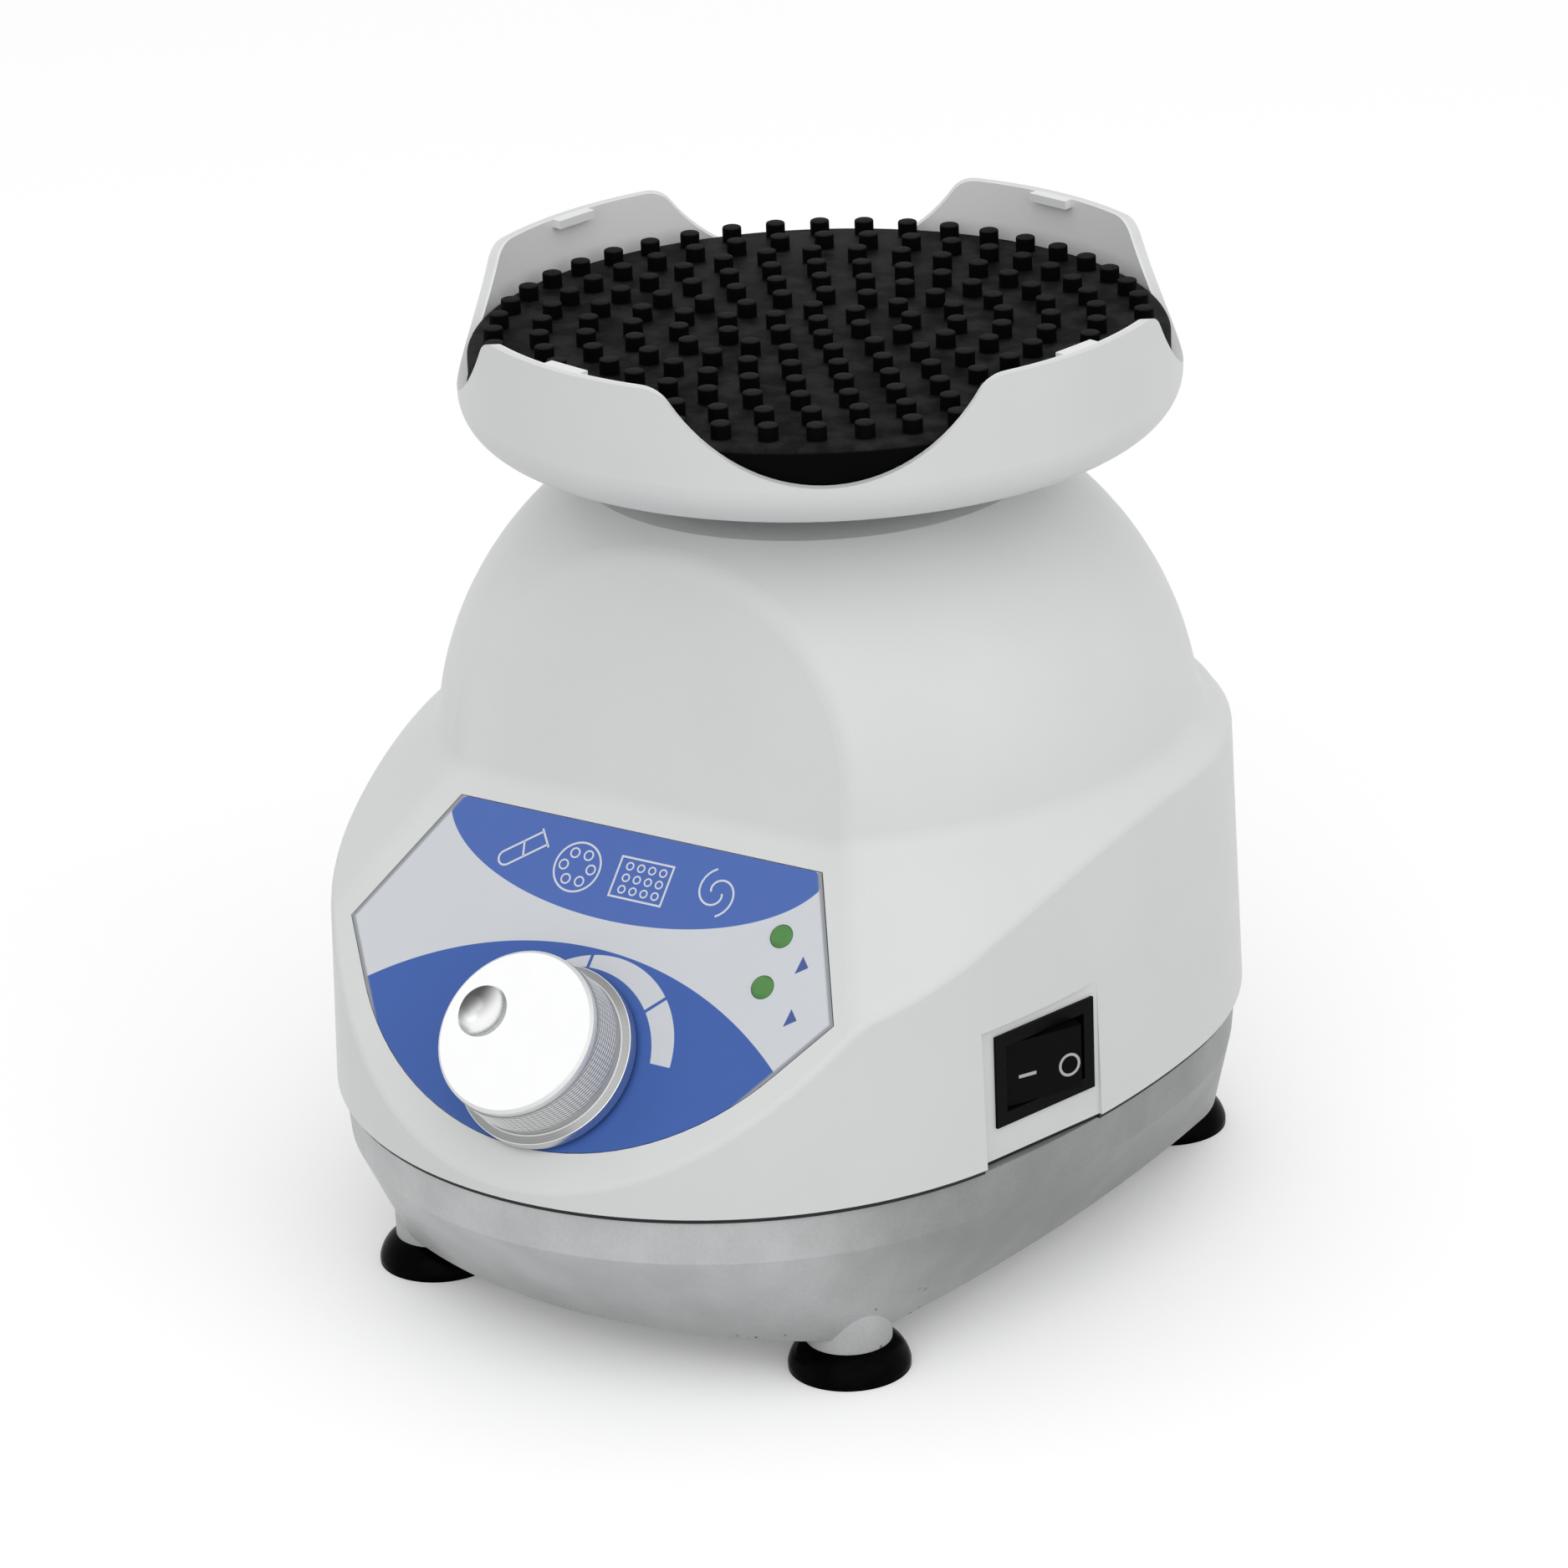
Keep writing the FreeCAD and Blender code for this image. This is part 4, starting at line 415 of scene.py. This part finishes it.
# Meshes
def new_piece(name, bm, material, body):
    mesh = bpy.data.meshes.new(name)
    bmesh.ops.recalc_face_normals(bm, faces=bm.faces)
    bm.to_mesh(mesh)
    bm.free()
    mesh.shade_smooth()
    mesh.set_sharp_from_angle(angle=SHARP_ANGLE)
    mesh.materials.append(material)
    piece = bpy.data.objects.new(name, mesh)
    bpy.context.scene.collection.objects.link(piece)
    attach(piece, body)
    return piece


def around(count):
    return [math.tau * i / count for i in range(count)]


def circle(across, drop, radius, count):
    return [(across + radius * math.cos(turn), drop + radius * math.sin(turn)) for turn in around(count)]


def join_rings(bm, near, far):
    for i in range(len(near)):
        j = (i + 1) % len(near)
        bm.faces.new((near[i], near[j], far[j], far[i]))


def stroke(points, width, closed=False):
    """The two sides of a line of even width through points, mitred at the corners."""
    sides = []
    count = len(points)
    for i, point in enumerate(points):
        here = Vector(point)
        before = Vector(points[i - 1]) if i or closed else None
        after = Vector(points[(i + 1) % count]) if i + 1 < count or closed else None
        into = (here - before).normalized() if before else (after - here).normalized()
        out = (after - here).normalized() if after else into
        across = Vector((-(into.y + out.y), into.x + out.x)).normalized()
        reach = width / 2 / max(0.4, across.dot(Vector((-into.y, into.x))))
        sides.append((here + across * reach, here - across * reach))
    return sides


def add_stroke(bm, place, points, width, closed=False):
    """A flat closed bar of ink along points. place turns two flat sizes and a rise into a point."""
    rows = [[bm.verts.new(place(*side, rise)) for side in pair for rise in (0, INK)]
            for pair in stroke(points, width, closed)]
    spans = list(zip(rows, rows[1:]))
    if closed:
        spans.append((rows[-1], rows[0]))
    else:
        for end in (rows[0], rows[-1]):
            bm.faces.new((end[0], end[1], end[3], end[2]))
    for near, far in spans:
        for a, b in ((0, 1), (1, 3), (3, 2), (2, 0)):
            bm.faces.new((near[a], near[b], far[b], far[a]))


def add_patch(bm, place, points):
    """A flat closed patch of ink inside points."""
    rings = [[bm.verts.new(place(*point, rise)) for point in points] for rise in (0, INK)]
    for ring in rings:
        bm.faces.new(ring)
    join_rings(bm, *rings)


def add_turned(bm, middle, profile, count):
    """A closed upright turned solid. profile gives its reach and height from foot to top, in millimetres."""
    rings = [[bm.verts.new(middle + Vector((reach * math.cos(turn), reach * math.sin(turn), height)) * MM)
              for turn in around(count)] for reach, height in profile]
    for cap in (rings[0], rings[-1]):
        bm.faces.new(cap)
    for near, far in zip(rings, rings[1:]):
        join_rings(bm, near, far)


# Mat in the tray: a disc with round nubs on rings about the head's axis
def nubbed_mat():
    low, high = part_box("rubber_mat")
    foot, plate, reach = low.z / MM, high.z / MM - SOLID_NUB, (high.x - low.x) / 2 / MM
    nub, nub_rise, pitch, rings, tray_turn = 1.62, 2.8, 7.5, 7, math.radians(-11.5)
    top = plate + nub_rise
    middle = Vector(((low.x + high.x) / 2, (low.y + high.y) / 2, 0))
    bm = bmesh.new()
    add_turned(bm, middle, [(reach, foot), (reach, plate - 0.6), (reach - 0.2, plate - 0.2),
                            (reach - 0.6, plate)], 128)
    sides = [(nub + 0.2, plate - 0.1), (nub + 0.06, plate + 0.12), (nub, plate + 0.4), (nub, top - 0.32),
             (nub - 0.09, top - 0.1), (nub - 0.3, top)]
    for ring in range(rings + 1):
        count = max(1, round(math.tau * ring))
        for place in range(count):
            turn = math.tau * (place + ring / 3) / count + tray_turn
            spot = Vector((math.cos(turn), math.sin(turn), 0)) * ring * pitch * MM
            add_turned(bm, middle + spot, sides, 18)
    mat = new_piece("nubbed_mat", bm, mat_rubber(plate, top), "head")
    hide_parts("rubber_mat")


# Coil springs round the guide posts, made at one length; on the mixer they close up as the head is pressed
# down
def coil_springs(material):
    low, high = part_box("touch_springs")
    foot, tall = low.z / MM, (high.z - low.z) / MM
    wire, coil, coils, steps, flat_turn = 0.7, 6.3, 8, 28, 0.65
    post_circle, motor_centre, press, seat_gap = 38, 14.4, 2, 0.05
    bm = bmesh.new()
    for post in map(math.radians, (30, 150, 270)):
        aside, ahead = post_circle * math.cos(post), post_circle * math.sin(post)
        middle = Vector((aside, motor_centre + ahead, foot + wire))
        rings = []
        for i in range(coils * steps + 1):
            turn = math.tau * i / steps
            climb = min(1, max(0, (i / steps - flat_turn) / (coils - 2 * flat_turn)))
            out = Vector((math.cos(turn), math.sin(turn), 0))
            spot = middle + out * coil + Vector((0, 0, climb * (tall - 2 * wire - seat_gap)))
            rings.append([bm.verts.new((spot + out * u + Vector((0, 0, v))) * MM)
                          for u, v in circle(0, 0, wire, 8)])
        for cap in (rings[0], rings[-1]):
            bm.faces.new(cap)
        for near, far in zip(rings, rings[1:]):
            join_rings(bm, near, far)
    springs = new_piece("coil_springs", bm, material, "base")
    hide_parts("touch_springs")
    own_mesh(springs)


# Prints on the panel film: signs for a tube, a round holder, a plate and the motion, and two lamp pointers
def panel_prints(white, blue):
    line = 0.34

    def tube():
        bm = bmesh.new()
        turn = math.radians(38)

        def spot(u, v):
            return (-19.5 + u * math.cos(turn) + v * math.sin(turn),
                    6.6 - u * math.sin(turn) + v * math.cos(turn))

        round_end = [(-3.3 + 1.25 * math.cos(a), 1.25 * math.sin(a))
                     for a in (math.radians(90 + 15 * i) for i in range(13))]
        outline = [(4.2, 1.25), *round_end, (4.2, -1.25)]
        add_stroke(bm, panel_point, [spot(*p) for p in outline], line)
        add_stroke(bm, panel_point, [spot(4.2, -1.8), spot(4.2, 1.8)], line)
        add_stroke(bm, panel_point, [spot(0.6, -1.25), spot(-0.4, 1.25)], line)
        return bm

    def round_holder():
        bm = bmesh.new()
        add_stroke(bm, panel_point, circle(-8.6, 7.6, 4.2, 40), line, True)
        for across, drop in circle(-8.6, 7.6, 2.6, 6):
            add_stroke(bm, panel_point, circle(across, drop, 0.8, 16), 0.28, True)
        return bm

    def plate():
        bm = bmesh.new()
        add_stroke(bm, panel_point, [(-1.2, 4.2), (8.6, 4.2), (8.6, 11), (-1.2, 11)], line, True)
        for column in range(4):
            for row in range(3):
                hole = circle(0.75 + 2.1 * column, 5.6 + 2.0 * row, 0.62, 14)
                add_stroke(bm, panel_point, hole, 0.26, True)
        return bm

    def swirl():
        bm = bmesh.new()
        for start in (0, 180):
            turns = [(1.0 + 0.145 * i, math.radians(start + 12 * i)) for i in range(22)]
            path = [(17.6 + r * math.cos(a), 6.8 + r * math.sin(a)) for r, a in turns]
            add_stroke(bm, panel_point, path, line)
        return bm

    signs = {"sign_tube": tube, "sign_round_holder": round_holder, "sign_plate": plate, "sign_swirl": swirl}
    for name, make in signs.items():
        new_piece(name, make(), white, "base")
    for number, (across, drop) in enumerate(((37.24, 15.33), (38.58, 24.0))):
        bm = bmesh.new()
        add_patch(bm, panel_point, [(across - 0.6, drop - 1.5), (across + 0.95, drop + 0.1),
                                    (across - 0.95, drop + 1.5)])
        new_piece(f"lamp_pointer_{number + 1}", bm, blue, "base")


# Knurled band round the speed knob: ridges that wind steeply round it, crossed by shallow ones
def knob_knurl(material):
    low, high, rows = 4.7, 11.4, 56
    winding, lean, crossing, depth = 25, 0.417, 90, 0.18
    turns = around(winding * 14)

    def ring(rise, reach_at):
        spots = [(reach_at(turn) * math.cos(turn), reach_at(turn) * math.sin(turn)) for turn in turns]
        return [bm.verts.new(panel_point(across, KNOB_DROP + drop, rise)) for across, drop in spots]

    def ridge(share):
        rise = low + (high - low) * share
        fade = min(1, share * 8, (1 - share) * 8)

        def reach_at(turn):
            wound = abs(math.sin(winding / 2 * (turn - lean * rise)))
            crossed = abs(math.sin(crossing / 2 * turn))
            ridged = wound * (0.7 + 0.3 * crossed)
            return KNOB_RADIUS + 0.02 + depth * (0.5 + fade * (ridged - 0.5))

        return ring(rise, reach_at)

    bm = bmesh.new()
    rings = [ridge(row / rows) for row in range(rows + 1)]
    rings += [ring(rise, lambda turn: KNOB_RADIUS - 0.3) for rise in (high, low)]
    for near, far in zip(rings, rings[1:] + rings[:1]):
        join_rings(bm, near, far)
    new_piece("knob_knurl", bm, material, "knob")


# Marks on the switch rocker: a bar on the front half, a ring on the rear half
def rocker_marks(white):
    along = Vector((0, 0, 1)).cross(ROCKER_OUT)

    def spot(u, v, rise):
        return (ROCKER_FACE + along * u + Vector((0, 0, v)) + ROCKER_OUT * rise) * MM

    marks = {"bar": ([(-4.54, -0.72), (-1.32, -0.72)], 0.55, False),
             "ring": (circle(4.88, -1.03, 1.75, 40), 0.45, True)}
    for name, path in marks.items():
        bm = bmesh.new()
        add_stroke(bm, spot, *path)
        new_piece(f"rocker_mark_{name}", bm, white, "rocker")


def dress_solids():
    """Gives each solid its finish."""
    steel = metal("plain_steel", (0.6, 0.6, 0.61), 0.25)
    black = plain_plastic("black_moulding", (0.0028, 0.0029, 0.003), 0.34, 0.04)
    finishes = {
        silver_paint(): ["base_casting"],
        moulded_white(): ["upper_housing"],
        tray_white(): ["tray"],
        rubber("cup_rubber", (0.0009, 0.0008, 0.0008), 0.2, 0.02, 0.8): [
            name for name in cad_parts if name.startswith("suction_foot")],
        rubber("seam_rubber", (0.02, 0.021, 0.022), 0.5, 0.2, 0.6): ["seam_gasket"],
        rubber("neck_rubber", (0.62, 0.63, 0.626), 0.5, 0.2, 0.6): ["neck_seal"],
        printed_film(): ["panel_overlay"],
        lamp_green(): ["led_continuous", "led_touch"],
        plain_plastic("circuit_board", (0.03, 0.13, 0.06), 0.4): ["control_board"],
        turned_aluminium(): ["speed_knob"],
        black: ["potentiometer", "switch_bezel", "switch_rocker", "power_inlet", "touch_switch"],
        metal("plain_brass", (0.72, 0.52, 0.22), 0.28): ["inlet_pins", "guide_bushes"],
        plain_plastic("motor_paint", (0.05, 0.05, 0.054), 0.4): ["motor_can"],
        metal("sheet_aluminium", (0.72, 0.73, 0.74), 0.35): ["motor_plate", "crank", "head_hub"],
        metal("zinc_plate", (0.66, 0.67, 0.7), 0.3): [
            "foot_screws", "housing_screws", "potentiometer_nut", "stop_nuts", "motor_screws", "crank_screw",
            "tray_screws"],
    }
    dressed = {name: material for material, names in finishes.items() for name in names}
    for name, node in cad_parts.items():
        node.data.materials.clear()
        node.data.materials.append(dressed.get(name, steel))


# Stage: pale floor, soft light, camera
def stage_floor():
    bm = bmesh.new()
    bmesh.ops.create_grid(bm, x_segments=1, y_segments=1, size=6)
    mesh = bpy.data.meshes.new("floor")
    bm.to_mesh(mesh)
    bm.free()
    finish = Finish("pale_floor", roughness=0.9, specular_ior_level=0.0, emission_strength=0.15)
    shown = finish.shown()
    finish.put("Base Color", finish.mix(shown, (0.62, 0.62, 0.62), (1, 1, 1)))
    finish.put("Emission Color", finish.mix(shown, (0, 0, 0), (1, 1, 1)))
    mesh.materials.append(finish.material)
    floor = bpy.data.objects.new("floor", mesh)
    bpy.context.scene.collection.objects.link(floor)


def soft_box(name, place, size, power):
    light = bpy.data.lights.new(name, "AREA")
    light.shape = "DISK"
    light.size = size
    light.energy = power
    lamp = bpy.data.objects.new(name, light)
    lamp.location = place
    lamp.rotation_euler = (Vector((0, 0, 0.08)) - Vector(place)).to_track_quat("-Z", "Y").to_euler()
    bpy.context.scene.collection.objects.link(lamp)


def studio_light():
    world = bpy.data.worlds.new("studio")
    bpy.context.scene.world = world
    world.use_nodes = True
    sky = Nodes(world.node_tree)
    background = sky.nodes["Background"]
    background.inputs["Color"].default_value = (1, 1, 1, 1)
    sky.feed(background.inputs["Strength"], 0.74 + 0.26 * sky.shown())
    soft_box("overhead_light", (0.5, -0.6, 2.0), 1.4, 3)
    soft_box("front_light", (0.7, -1.8, 1.2), 2.0, 8)
    soft_box("right_light", (2.0, -0.5, 1.2), 2.0, 6)


def photo_camera():
    data = bpy.data.cameras.new("camera")
    data.sensor_width = SENSOR
    data.lens = FOCAL_PIXELS / PHOTO_SIZE * SENSOR
    data.clip_start = 0.01
    camera = bpy.data.objects.new("camera", data)
    flat = math.cos(CAMERA_ELEVATION)
    back = Vector((math.sin(CAMERA_AZIMUTH) * flat, -math.cos(CAMERA_AZIMUTH) * flat,
                   math.sin(CAMERA_ELEVATION)))
    right = Vector((0, 0, 1)).cross(back).normalized()
    level = Matrix((right, back.cross(right), back)).transposed()
    turned = (level @ Matrix.Rotation(CAMERA_ROLL, 3, "Z")).to_4x4()
    camera.matrix_world = Matrix.Translation(CAMERA_PLACE) @ turned
    bpy.context.scene.collection.objects.link(camera)
    bpy.context.scene.camera = camera


photo_camera()
studio_light()
stage_floor()
dress_solids()
white_ink = ink("white_ink", (0.66, 0.7, 0.78))
nubbed_mat()
coil_springs(bpy.data.materials["plain_steel"])
panel_prints(white_ink, ink("blue_ink", (0.07, 0.11, 0.33)))
knob_knurl(bpy.data.materials["turned_aluminium"])
rocker_marks(ink("mark_ink", (0.46, 0.48, 0.5)))
bpy.context.scene.view_settings.view_transform = "Standard"
